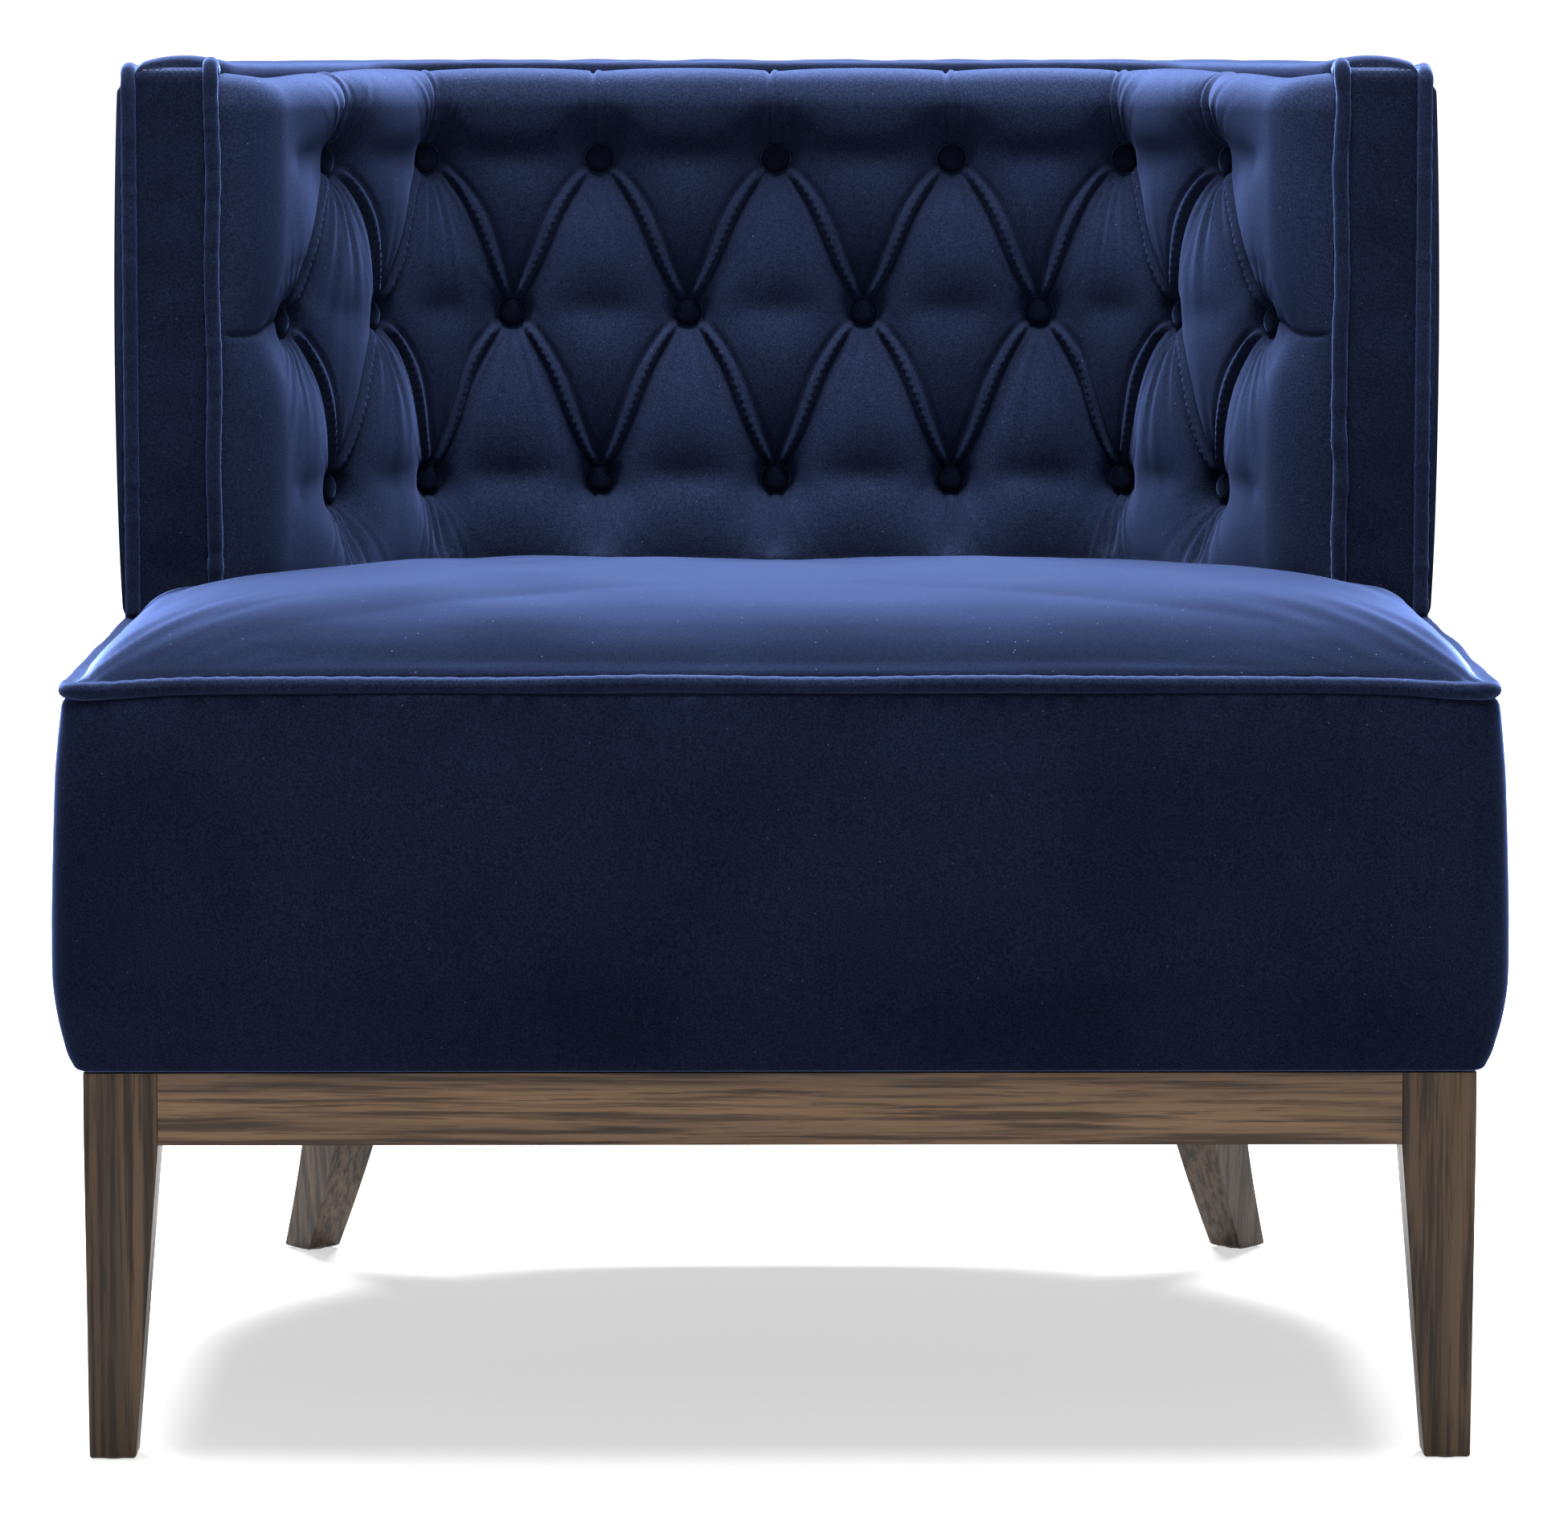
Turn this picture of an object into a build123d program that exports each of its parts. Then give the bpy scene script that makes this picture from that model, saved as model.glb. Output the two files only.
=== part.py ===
"""Slipper chair: a deep-buttoned wrap-around back on a boxed, crowned seat and a tapered wooden base.

Frame: X across the chair towards a sitter's left-hand side, Y from the front to the rear, Z up.
The origin lies on the floor, in the middle of the plan. Sizes are in millimetres.
An "offset" is a distance outside the plan outline of the wooden base, or behind the line of buttons.
"""

from build123d import *
from math import cos, pi, radians, sin, sqrt, tan
import os

# Wooden base, in plan: straight front and sides, round rear corners
base_width = 748.0
base_depth = 720.0
base_corner_radius = 300.0
front_corner_radius = 5.0
base_height = 211.0
apron_height = 39.0
apron_thickness = 22.0

# Legs
front_leg_top = 40.0
front_leg_foot = 25.0
front_leg_outer_taper = 1.4
rear_leg_angle = 42.0
rear_leg_top = 44.0
rear_leg_foot = 24.0
rear_leg_rake = 49.5
rear_leg_sweep = 1.55
leg_edge_round = 1.2
foot_chamfer = 1.2
glide_thickness = 3.0
glide_standoff = 1.0
glide_radius = 8.0
glide_nail_radius = 1.0
glide_nail_length = 12.0

# Joints of the base
tenon_thickness = 8.0
tenon_height = 25.0
tenon_length = 15.0
joint_clearance = 0.1
dowel_radius = 4.0
dowel_length = 30.0
dowel_spacing = 16.0
block_height = 33.0
front_block_leg = 75.0
rear_block_width = 116.0
rear_block_depth = 28.0
bolt_radius = 3.0
bolt_grip_in_leg = 24.0
bolt_end = 2.0
nut_radius = 6.0
nut_height = 5.0
body_bolt_head_radius = 7.0
body_bolt_head_height = 3.0
body_bolt_reach = 30.0
body_bolt_inset = 13.0
body_bolt_shift = 9.0
bolt_clearance = 0.3
block_drop = 1.0
cut_overrun = 1.0
leg_head_overrun = 4.0

# Seat frame
dust_cover_thickness = 1.0
dust_cover_inset = 6.0
frame_inset = 1.0
seat_board_height = 118.0
seat_board_thickness = 20.0
seat_block_leg = 70.0
seat_block_height = 50.0
cross_rail_setback = 52.0
cross_rail_thickness = 22.0
cross_rail_height = 40.0

# Webbing
strap_width = 50.0
strap_thickness = 1.6
strap_rise = 1.8
strap_ramp = 10.0
strap_end_margin = 4.0
strap_gap = 1.0
long_strap_count = 5
long_strap_inset = 154.0
cross_strap_count = 4
first_cross_strap = 60.0
last_cross_strap = 30.0

# Seat upholstery
cloth = 2.0
fit_gap = 0.3
seam_rise = 208.6
seat_foam_lift = 4.0
border_bottom_offset = 5.0
border_bulge_offset = 16.0
border_bulge_rise = 68.0
border_top_offset = 8.5
piping_radius = 4.75
piping_offset = 4.5
piping_flange = 1.2
seat_edge_offset = -0.45
seat_edge_height = 4.7
seat_crown_rise = 47.4
seat_crown_setback = 200.0
seat_flat_inset = 208.0
seat_crown_flat_drop = 6.0
seat_shoulder_inset = 88.0
seat_shoulder_drop = 19.0
seat_brow_inset = 30.0
seat_brow_drop = 32.0
seat_middle_setback = 182.0
seat_middle_drop = 8.0
seat_rear_drop = 29.0

# Back: line of buttons in plan, and its layers
back_height = 747.5
wing_length = 360.0
back_depth = 158.0
wing_end_gap = 3.3
button_line_radius = 60.0
wing_angle = 63.0
back_foam_depth = 24.0
button_to_board = 18.0
board_thickness = 4.0
back_foam_rise = 6.0
back_foam_drop = 10.5
back_roll_radius = 28.0
board_below_foam = 2.0
top_seam_offset = 5.8
wing_nose_radius = 22.0
corner_foam_ratio = 1.75
wing_foam_ratio = 2.75
pad_setback = 4.0
pad_overrun = 40.0

# Buttons; a ratio, here and below, is a place on the button line in button pitches
wing_button_inset = 66.4
top_row_drop = 59.0
middle_row_drop = 152.0
low_row_drop = 253.5
half_row_count = 4
button_radius = 9.0
button_dome = 4.0
button_seat_gap = 0.5
well_mouth_radius = 24.0
tie_radius = 1.2
tie_washer_radius = 7.0
tie_washer_thickness = 1.5

# Back frame and outside
facing_thickness = 10.0
plate_thickness = 18.0
top_plate_drop = 17.5
rib_thickness = 18.0
rear_rib_ratio = 0.75
corner_rib_ratio = 2.25
wing_rib_ratio = 3.25
wing_post_depth = 32.0
liner_thickness = 4.0
outer_pad_thickness = 5.0
outer_cover_drop = 11.5
top_foam_round = 5.0
outer_piping_drop = 6.5
outer_piping_offset = 2.0
inner_piping_inset = 46.0
facing_drop = 2.0
piping_setback = 3.5
piping_turn_inside = 0.3

# Places worked out from the sizes above
half_width = base_width / 2
front_y = -base_depth / 2
rear_y = base_depth / 2
arc_x = half_width - base_corner_radius
arc_y = rear_y - base_corner_radius
apron_bottom = base_height - apron_height
wing_front = rear_y - wing_length
button_line_y = rear_y - back_depth
inner_piping_x = half_width - inner_piping_inset
frame_front = wing_front + facing_thickness
cross_rail_front = button_line_y - cross_rail_setback
body_bottom = base_height + dust_cover_thickness
board_top = body_bottom + seat_board_height
board_inner = frame_inset + seat_board_thickness
board_front_face = button_to_board
board_rear_face = button_to_board + board_thickness
block_top = base_height - block_drop
block_bottom = block_top - block_height
seam_height = body_bottom + seam_rise
border_bulge_height = body_bottom + border_bulge_rise
seat_crown_height = seam_height + seat_crown_rise
top_foam_height = back_height - cloth
top_plate_top = back_height - top_plate_drop
outer_cover_top = back_height - outer_cover_drop
outer_piping_height = back_height - outer_piping_drop
facing_top = outer_piping_height - facing_drop
back_foam_bottom = board_top + back_foam_rise
back_foam_top = back_height - back_foam_drop
button_rows = [back_height - drop for drop in (top_row_drop, middle_row_drop, low_row_drop)]
cover_bottom = seam_height + piping_radius + fit_gap
liner_offset = liner_thickness - frame_inset
outer_pad_offset = liner_offset + outer_pad_thickness
seat_top_of_core = seam_height + piping_flange / 2 + joint_clearance
turn = radians(wing_angle)
bend_run = button_line_radius * turn
wing_run = (button_line_y - wing_front - button_line_radius * (1 - cos(turn))) / sin(turn)
wing_end_x = inner_piping_x - wing_end_gap
button_line_half_flat = wing_end_x - wing_run * cos(turn) - button_line_radius * sin(turn)
outer_button_run = button_line_half_flat + bend_run + wing_run - wing_button_inset
button_pitch = outer_button_run / (half_row_count - 0.5)
piping_turn = piping_radius + piping_turn_inside
piping_overhang = piping_radius - piping_setback
diagonal = sqrt(0.5)


# ---------------------------------------------------------------- outlines in plan


def outer_edges(offset, start_y):
    """The open outline round the sides and rear, from the right front end to the left one."""
    x, y, r = half_width + offset, rear_y + offset, base_corner_radius + offset
    k = r * diagonal
    edges = [
        ThreePointArc((x, arc_y), (arc_x + k, arc_y + k), (arc_x, y)),
        Line((arc_x, y), (-arc_x, y)),
        ThreePointArc((-arc_x, y), (-arc_x - k, arc_y + k), (-x, arc_y)),
    ]
    if start_y < arc_y:
        edges = [Line((x, start_y), (x, arc_y)), *edges, Line((-x, arc_y), (-x, start_y))]
    return edges


def inner_point(offset, angle):
    """A point on the right-hand bend of the button line, at an angle from straight back."""
    r = button_line_radius + offset
    a = radians(angle)
    centre_y = button_line_y - button_line_radius
    return (button_line_half_flat + r * sin(a), centre_y + r * cos(a))


def inner_end(offset, start_y):
    """Where the button line, moved by offset, reaches the given y on the right wing."""
    x, y = inner_point(offset, wing_angle)
    return (x + (y - start_y) * cos(turn) / sin(turn), start_y)


def inner_edges(offset, start_y):
    """The button line moved by offset, from the right wing's front end to the left one."""
    end, bend = inner_end(offset, start_y), inner_point(offset, wing_angle)
    mid, flat = inner_point(offset, wing_angle / 2), inner_point(offset, 0)

    def left(p):
        return (-p[0], p[1])

    return [
        Line(end, bend),
        ThreePointArc(bend, mid, flat),
        Line(flat, left(flat)),
        ThreePointArc(left(flat), left(mid), left(bend)),
        Line(left(bend), left(end)),
    ]


def closed_outline(offset):
    """Face of the whole plan at an offset, with its small front corners."""
    x, y = half_width + offset, front_y - offset
    r = max(front_corner_radius + offset, 0.5)
    k = r * (1 - diagonal)
    edges = outer_edges(offset, y + r)
    edges += [
        ThreePointArc((-x, y + r), (-x + k, y + k), (-x + r, y)),
        Line((-x + r, y), (x - r, y)),
        ThreePointArc((x - r, y), (x - k, y + k), (x, y + r)),
    ]
    return make_face(edges)


def between(outer, inner):
    """Face between two open outlines that run the same way, closed at their ends."""
    first, last = outer[0] @ 0, outer[-1] @ 1
    return make_face([*outer, Line(last, inner[-1] @ 1), *inner, Line(inner[0] @ 0, first)])


def upright(face, low, high):
    """Extrude a plan face from one height to another."""
    return extrude(Pos(0, 0, low) * face, amount=high - low, dir=(0, 0, 1))


def slab(x0, x1, y0, y1, z0, z1):
    """Box from its corner coordinates."""
    return Pos((x0 + x1) / 2, (y0 + y1) / 2, (z0 + z1) / 2) * Box(x1 - x0, y1 - y0, z1 - z0)


def mirrored(shape):
    """The same shape on the other side of the chair."""
    return mirror(shape, about=Plane.YZ)


def pair(shape):
    """The shape and its mirror image as separate solids."""
    return Compound(children=[*solids_of(shape), *solids_of(mirrored(shape))])


def solids_of(shape):
    """The solids of a shape, which may itself be one."""
    return list(shape.solids())


def group(shapes):
    """Separate solids kept together in one node."""
    return Compound(children=[s for shape in shapes for s in solids_of(shape)])


# ---------------------------------------------------------------- wooden base


def leg_corner_frame():
    """Plane at the right rear leg, on the floor: x along the outline, y straight out of it."""
    out_x, out_y = sin(radians(rear_leg_angle)), cos(radians(rear_leg_angle))
    origin = (arc_x + base_corner_radius * out_x, arc_y + base_corner_radius * out_y, 0)
    return Plane(origin=origin, x_dir=(out_y, -out_x, 0), z_dir=(0, 0, 1))


def in_corner(shape):
    """Place a shape drawn at the right rear leg's own frame."""
    return leg_corner_frame().location * shape


def glide():
    """Nylon glide let into the foot, with its nail, drawn on the Z axis."""
    disc = Pos(0, 0, glide_thickness / 2) * Cylinder(glide_radius, glide_thickness)
    middle = glide_thickness + glide_nail_length / 2
    return disc + Pos(0, 0, middle) * Cylinder(glide_nail_radius, glide_nail_length)


def glide_hole():
    """Counterbore and hole in a foot for its glide."""
    bore = glide_radius + joint_clearance
    counterbore = Pos(0, 0, glide_thickness / 2) * Cylinder(bore, glide_thickness)
    depth = glide_nail_length + joint_clearance
    hole = Cylinder(glide_nail_radius + joint_clearance, depth)
    return counterbore + Pos(0, 0, glide_thickness + depth / 2) * hole


def front_foot_centre():
    """Centre of the right front foot on the floor."""
    inset = front_leg_outer_taper + front_leg_foot / 2
    return (half_width - inset, front_y + inset)


def front_leg():
    """Right front leg: square at the apron, tapered on its inner faces below it."""
    mid = front_leg_top / 2
    head_x, head_y = half_width - mid, front_y + mid
    foot_x, foot_y = front_foot_centre()
    head = Pos(head_x, head_y, apron_bottom) * Rectangle(front_leg_top, front_leg_top)
    foot = Pos(foot_x, foot_y, glide_standoff) * Rectangle(front_leg_foot, front_leg_foot)
    shaft = loft([foot, head])
    square = Pos(head_x, head_y) * Rectangle(front_leg_top, front_leg_top)
    shaft += upright(square, apron_bottom, base_height)
    shaft = chamfer(shaft.faces().sort_by(Axis.Z)[0].edges(), foot_chamfer)
    long_edges = [e for e in shaft.edges() if e.length > apron_bottom / 2]
    shaft = fillet([e for e in long_edges if e.center().Z < apron_bottom], leg_edge_round)
    shaft -= apron_tenon(joint_clearance) + side_tenon(joint_clearance)
    shaft -= Pos(foot_x, foot_y) * glide_hole()
    return shaft - front_leg_bolt(bolt_clearance)


def rear_leg_section(height):
    """Square section of the rear leg at a height, raked outwards towards the foot."""
    drop = (apron_bottom - height) / apron_bottom
    side = rear_leg_top + (rear_leg_foot - rear_leg_top) * drop
    out = -rear_leg_top / 2 + rear_leg_rake * drop**rear_leg_sweep
    return Pos(0, out, height) * Rectangle(side, side)


def rear_leg():
    """Right rear leg: a sabre leg set square to the round corner."""
    heights = [glide_standoff, apron_bottom / 3, apron_bottom * 2 / 3, apron_bottom]
    shaft = loft([rear_leg_section(h) for h in heights])
    head = Pos(0, -rear_leg_top / 2) * Rectangle(rear_leg_top, rear_leg_top)
    shaft += upright(head, apron_bottom, base_height)
    shaft = chamfer(shaft.faces().sort_by(Axis.Z)[0].edges(), foot_chamfer)
    shaft -= Pos(0, rear_foot_out()) * glide_hole()
    shaft -= corner_dowels(joint_clearance)
    shaft -= corner_leg_bolt(bolt_clearance)
    return in_corner(shaft)


def rear_foot_out():
    """Distance of the rear foot's centre outside the base outline."""
    drop = (apron_bottom - glide_standoff) / apron_bottom
    return -rear_leg_top / 2 + rear_leg_rake * drop**rear_leg_sweep


def corner_dowels(extra=0.0):
    """Dowels from the rear leg's head into the ends of both aprons, in the leg's frame."""
    mid = (apron_bottom + base_height) / 2
    found = []
    for side in (-1, 1):
        for level in (-1, 1):
            place = Pos(side * rear_leg_top / 2, -apron_thickness / 2, mid + level * dowel_spacing / 2)
            rod = Cylinder(dowel_radius + extra, dowel_length + 2 * extra)
            found.append(place * Rot(0, 90, 0) * rod)
    return found


def apron_tenon(extra=0.0):
    """Tenon of the front apron in the right leg."""
    mid = (apron_bottom + base_height) / 2
    x0 = half_width - front_leg_top - cut_overrun
    x1 = half_width - front_leg_top + tenon_length + extra
    y = front_y + apron_thickness / 2
    t, h = tenon_thickness / 2 + extra, tenon_height / 2 + extra
    return slab(x0, x1, y - t, y + t, mid - h, mid + h)


def side_tenon(extra=0.0):
    """Tenon of the side apron in the right front leg."""
    mid = (apron_bottom + base_height) / 2
    y1 = front_y + front_leg_top + cut_overrun
    y0 = front_y + front_leg_top - tenon_length - extra
    x = half_width - apron_thickness / 2
    t, h = tenon_thickness / 2 + extra, tenon_height / 2 + extra
    return slab(x - t, x + t, y0, y1, mid - h, mid + h)


def apron_ring():
    """Curved rail round the sides and rear, before it is cut at the legs."""
    start = front_y + front_leg_top
    face = between(outer_edges(0, start), outer_edges(-apron_thickness, start))
    return upright(face, apron_bottom, base_height)


def rear_leg_heads(extra=0.0):
    """Space of both rear leg heads in the rail."""
    side = rear_leg_top + 2 * extra
    middle = (leg_head_overrun - rear_leg_top) / 2
    head = Pos(0, middle) * Rectangle(side, rear_leg_top + leg_head_overrun)
    right = in_corner(upright(head, apron_bottom, base_height))
    return right + mirrored(right)


def aprons():
    """Front, right, left and rear aprons."""
    reach = half_width - front_leg_top
    front = slab(-reach, reach, front_y, front_y + apron_thickness, apron_bottom, base_height)
    front = front + apron_tenon() + mirrored(apron_tenon())
    dowels = group([in_corner(group(corner_dowels(joint_clearance)))])
    holes = [*dowels.solids(), *mirrored(dowels).solids()]
    pieces = (apron_ring() - rear_leg_heads()).solids()
    pieces = [piece - holes for piece in pieces]
    rear = max(pieces, key=lambda s: s.center().Y)
    right = max(pieces, key=lambda s: s.center().X) + side_tenon()
    return front, right, mirrored(right), rear


def front_block():
    """Corner block behind the right front leg, shaped round the leg's inner corner."""
    leg_x, leg_y = half_width - front_leg_top, front_y + front_leg_top
    x, y = half_width - apron_thickness, front_y + apron_thickness
    outside = [(leg_x, y), (leg_x, leg_y), (x, leg_y)]
    corners = [(x - front_block_leg, y), *outside, (x, y + front_block_leg)]
    block = upright(make_face(Polyline(*corners, close=True)), block_bottom, block_top)
    block -= front_leg_bolt(bolt_clearance)
    return block - front_body_bolt(bolt_clearance)


def front_bolt_start():
    """Middle of the front block's long face, where the leg bolt's nut sits."""
    x, y = half_width - apron_thickness, front_y + apron_thickness
    return (x - front_block_leg / 2, y + front_block_leg / 2)


def bolt_level():
    """Height of the leg bolts."""
    return block_bottom + block_height / 2


def front_leg_bolt(extra=0.0):
    """Hanger bolt through the front block into the right front leg, with room for its end."""
    x0, y0 = front_bolt_start()
    corner_x = half_width - front_leg_top
    run = (corner_x - x0) / diagonal + bolt_grip_in_leg
    length = run + nut_height + bolt_end
    axis = Plane(origin=(x0, y0, bolt_level()), x_dir=(0, 0, 1), z_dir=(diagonal, -diagonal, 0))
    middle = (run - nut_height - bolt_end) / 2
    return axis.location * Pos(0, 0, middle) * Cylinder(bolt_radius + extra, length + 2 * extra)


def front_leg_nut():
    """Hexagon nut on the front leg bolt."""
    x0, y0 = front_bolt_start()
    axis = Plane(origin=(x0, y0, bolt_level()), x_dir=(0, 0, 1), z_dir=(diagonal, -diagonal, 0))
    ring = RegularPolygon(nut_radius, 6) - Circle(bolt_radius)
    return axis.location * extrude(ring, amount=-nut_height)


def corner_leg_bolt(extra=0.0):
    """Hanger bolt through the rear block into the rear leg, in the leg's frame."""
    inner_face = -rear_leg_top - rear_block_depth
    end = -rear_leg_top + bolt_grip_in_leg + extra
    start = inner_face - nut_height - bolt_end
    place = Pos(0, (start + end) / 2, bolt_level()) * Rot(90, 0, 0)
    return place * Cylinder(bolt_radius + extra, end - start)


def corner_leg_nut():
    """Hexagon nut on the rear leg bolt, in the leg's frame."""
    ring = RegularPolygon(nut_radius, 6) - Circle(bolt_radius)
    origin = (0, -rear_leg_top - rear_block_depth, bolt_level())
    face = Plane(origin=origin, x_dir=(1, 0, 0), z_dir=(0, -1, 0))
    return extrude(face.location * ring, amount=nut_height, dir=(0, -1, 0))


def corner_wedge(depth_inside, low, high, rail_offset):
    """Block at the rear corner that follows the inside of a curved rail, in the row's frame."""
    deep = rear_leg_top + rear_block_depth
    box = Pos(0, (-deep + depth_inside) / 2) * Rectangle(rear_block_width, deep + depth_inside)
    wedge = in_corner(upright(box, low, high))
    return wedge & upright(closed_outline(rail_offset), low, high)


def rear_block():
    """Corner block behind the right rear leg."""
    block = corner_wedge(0, block_bottom, block_top, -apron_thickness)
    block -= rear_leg_heads()
    block -= in_corner(corner_leg_bolt(bolt_clearance))
    return block - rear_body_bolt(bolt_clearance)


def body_bolt(x, y, extra=0.0):
    """Bolt from under a corner block up into the seat frame."""
    high = body_bottom + body_bolt_reach + extra
    shank = Pos(x, y, (block_bottom + high) / 2) * Cylinder(bolt_radius + extra, high - block_bottom)
    low = block_bottom - body_bolt_head_height
    place = Pos(x, y, low + body_bolt_head_height / 2)
    head = place * Cylinder(body_bolt_head_radius, body_bolt_head_height)
    return shank if extra else shank + head


def front_body_bolt(extra=0.0):
    """Body bolt of the right front block."""
    x = half_width - front_leg_top - body_bolt_inset - body_bolt_shift
    return body_bolt(x, front_y + apron_thickness + body_bolt_inset, extra)


def rear_body_bolt(extra=0.0):
    """Body bolt of the right rear block, beside the leg bolt."""
    along = rear_block_width / 2 - 2 * body_bolt_inset
    out = -rear_leg_top - rear_block_depth / 2
    place = leg_corner_frame().from_local_coords((-along, out, 0))
    return body_bolt(place.X, place.Y, extra)


def all_body_bolts(extra=0.0):
    """The four body bolts."""
    right = [front_body_bolt(extra), rear_body_bolt(extra)]
    return right + [mirrored(b) for b in right]


# ---------------------------------------------------------------- seat frame and webbing


def dust_cover():
    """Black cloth under the body, trapped between it and the base."""
    sheet = upright(closed_outline(-dust_cover_inset), base_height, body_bottom)
    return sheet - all_body_bolts(bolt_clearance)


def seat_front_board():
    """Front board between the side boards."""
    x = half_width - board_inner
    y = front_y + frame_inset
    return slab(-x, x, y, y + seat_board_thickness, body_bottom, board_top)


def seat_side_board():
    """Right side board, with its front corner rounded under the cloth."""
    x1, y0 = half_width - frame_inset, front_y + frame_inset
    board = slab(x1 - seat_board_thickness, x1, y0, arc_y, body_bottom, board_top)
    corner = max(board.edges().filter_by(Axis.Z), key=lambda e: e.center().X - e.center().Y)
    return fillet(corner, front_corner_radius - frame_inset)


def seat_rear_board():
    """Bent board round the rear of the seat."""
    face = between(outer_edges(-frame_inset, arc_y), outer_edges(-board_inner, arc_y))
    return upright(face, body_bottom, board_top)


def seat_front_blocks():
    """Glue blocks in the seat frame's front corners, which take the body bolts."""
    x, y = half_width - board_inner, front_y + board_inner
    corners = Polyline((x, y), (x - seat_block_leg, y), (x, y + seat_block_leg), close=True)
    block = upright(make_face(corners), body_bottom, body_bottom + seat_block_height)
    return pair(block - front_body_bolt(bolt_clearance))


def seat_rear_blocks():
    """Glue blocks in the seat frame's round rear corners, which take the body bolts."""
    block = corner_wedge(0, body_bottom, body_bottom + seat_block_height, -board_inner)
    return pair(block - rear_body_bolt(bolt_clearance))


def seat_cross_rail():
    """Rail across the frame that carries the rear ends of the webbing."""
    y0, y1 = cross_rail_front, cross_rail_front + cross_rail_thickness
    rail = slab(-half_width, half_width, y0, y1, board_top - cross_rail_height, board_top)
    return rail & upright(closed_outline(-board_inner), board_top - cross_rail_height, board_top)


def cross_strap_places():
    """Y of each crosswise strap's middle."""
    last, first = wing_front - last_cross_strap, front_y + first_cross_strap
    pitch = (last - first) / (cross_strap_count - 1)
    return [last - i * pitch for i in range(cross_strap_count)]


def long_strap_places():
    """X of each lengthwise strap's middle."""
    reach = half_width - long_strap_inset
    pitch = 2 * reach / (long_strap_count - 1)
    return [-reach + i * pitch for i in range(long_strap_count)]


def strap_side(start, end, crossings):
    """Side view of a strap that rises over some of the straps that it crosses."""
    half = strap_width / 2 + strap_gap
    line = [(start, 0.0)]
    for c in sorted(crossings):
        line += [(c - half - strap_ramp, 0.0), (c - half, strap_rise)]
        line += [(c + half, strap_rise), (c + half + strap_ramp, 0.0)]
    line.append((end, 0.0))
    upper = [(a, h + strap_thickness) for a, h in reversed(line)]
    return make_face(Polyline(*line, *upper, close=True))


def long_straps():
    """Lengthwise straps, over and under in turn."""
    start = front_y + frame_inset + strap_end_margin
    end = cross_rail_front + cross_rail_thickness - strap_end_margin
    found = []
    for i, x in enumerate(long_strap_places()):
        over = [y for j, y in enumerate(cross_strap_places()) if (i + j) % 2 == 0]
        side = Plane(origin=(x - strap_width / 2, 0, board_top), x_dir=(0, 1, 0), z_dir=(1, 0, 0))
        face = side.location * strap_side(start, end, over)
        found.append(extrude(face, amount=strap_width, dir=(1, 0, 0)))
    return group(found)


def cross_straps():
    """Crosswise straps, which rise where the lengthwise ones stay down."""
    end = half_width - frame_inset - strap_end_margin
    found = []
    for j, y in enumerate(cross_strap_places()):
        over = [x for i, x in enumerate(long_strap_places()) if (i + j) % 2 == 1]
        side = Plane(origin=(0, y + strap_width / 2, board_top), x_dir=(1, 0, 0), z_dir=(0, -1, 0))
        face = side.location * strap_side(-end, end, over)
        found.append(extrude(face, amount=strap_width, dir=(0, -1, 0)))
    return group(found)


# ---------------------------------------------------------------- seat upholstery


def half_loop(offset, height):
    """Right half of the closed outline, from the front's middle to the rear's, as a path."""
    x, y0, y1 = half_width + offset, front_y - offset, rear_y + offset
    r, big = front_corner_radius + offset, base_corner_radius + offset
    k, m = r * diagonal, big * diagonal
    edges = [
        Line((0, y0, height), (x - r, y0, height)),
        ThreePointArc((x - r, y0, height), (x - r + k, y0 + r - k, height), (x, y0 + r, height)),
        Line((x, y0 + r, height), (x, arc_y, height)),
        ThreePointArc((x, arc_y, height), (arc_x + m, arc_y + m, height), (arc_x, y1, height)),
        Line((arc_x, y1, height), (0, y1, height)),
    ]
    return Wire(edges)


def round_the_body(profile, offset=0.0, height=0.0):
    """Sweep a profile, drawn as (offset, height), all the way round the body."""
    start = Plane(origin=(0, front_y, 0), x_dir=(0, -1, 0), z_dir=(-1, 0, 0))
    half = sweep(start.location * profile, path=half_loop(offset, height))
    return half + mirrored(half)


def border_curve(extra=0.0):
    """Bulged outside of the seat's border, as offset against height."""
    top = seam_height - piping_radius - fit_gap
    low = (border_bottom_offset - extra, body_bottom)
    high = (border_top_offset - extra, top)
    return Spline(low, (border_bulge_offset - extra, border_bulge_height), high)


def border_profile(extra, inner):
    """Closed profile between the bulged outside and a straight inner face."""
    curve = border_curve(extra)
    low, high = curve @ 0, curve @ 1
    corners = Polyline((high.X, high.Y), (inner, high.Y), (inner, low.Y), (low.X, low.Y))
    return make_face([curve, *corners.edges()])


def seat_border_foam():
    """Foam wrapped round the boards, bulging under the cloth."""
    return round_the_body(border_profile(cloth, -frame_inset))


def seat_border_cover():
    """Velvet border round the seat."""
    curve, inside = border_curve(), border_curve(cloth)
    cap = [Line(curve @ 1, inside @ 1), Line(inside @ 0, curve @ 0)]
    return round_the_body(make_face([curve, inside, *cap]))


def seat_piping():
    """Welt cord round the top edge of the border, with its sewn flange."""
    cord = Pos(piping_offset, seam_height) * Circle(piping_radius)
    flange_end = -frame_inset + fit_gap
    width = piping_offset - flange_end
    flange = Pos(flange_end + width / 2, seam_height) * Rectangle(width, piping_flange)
    return round_the_body(cord + flange)


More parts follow.
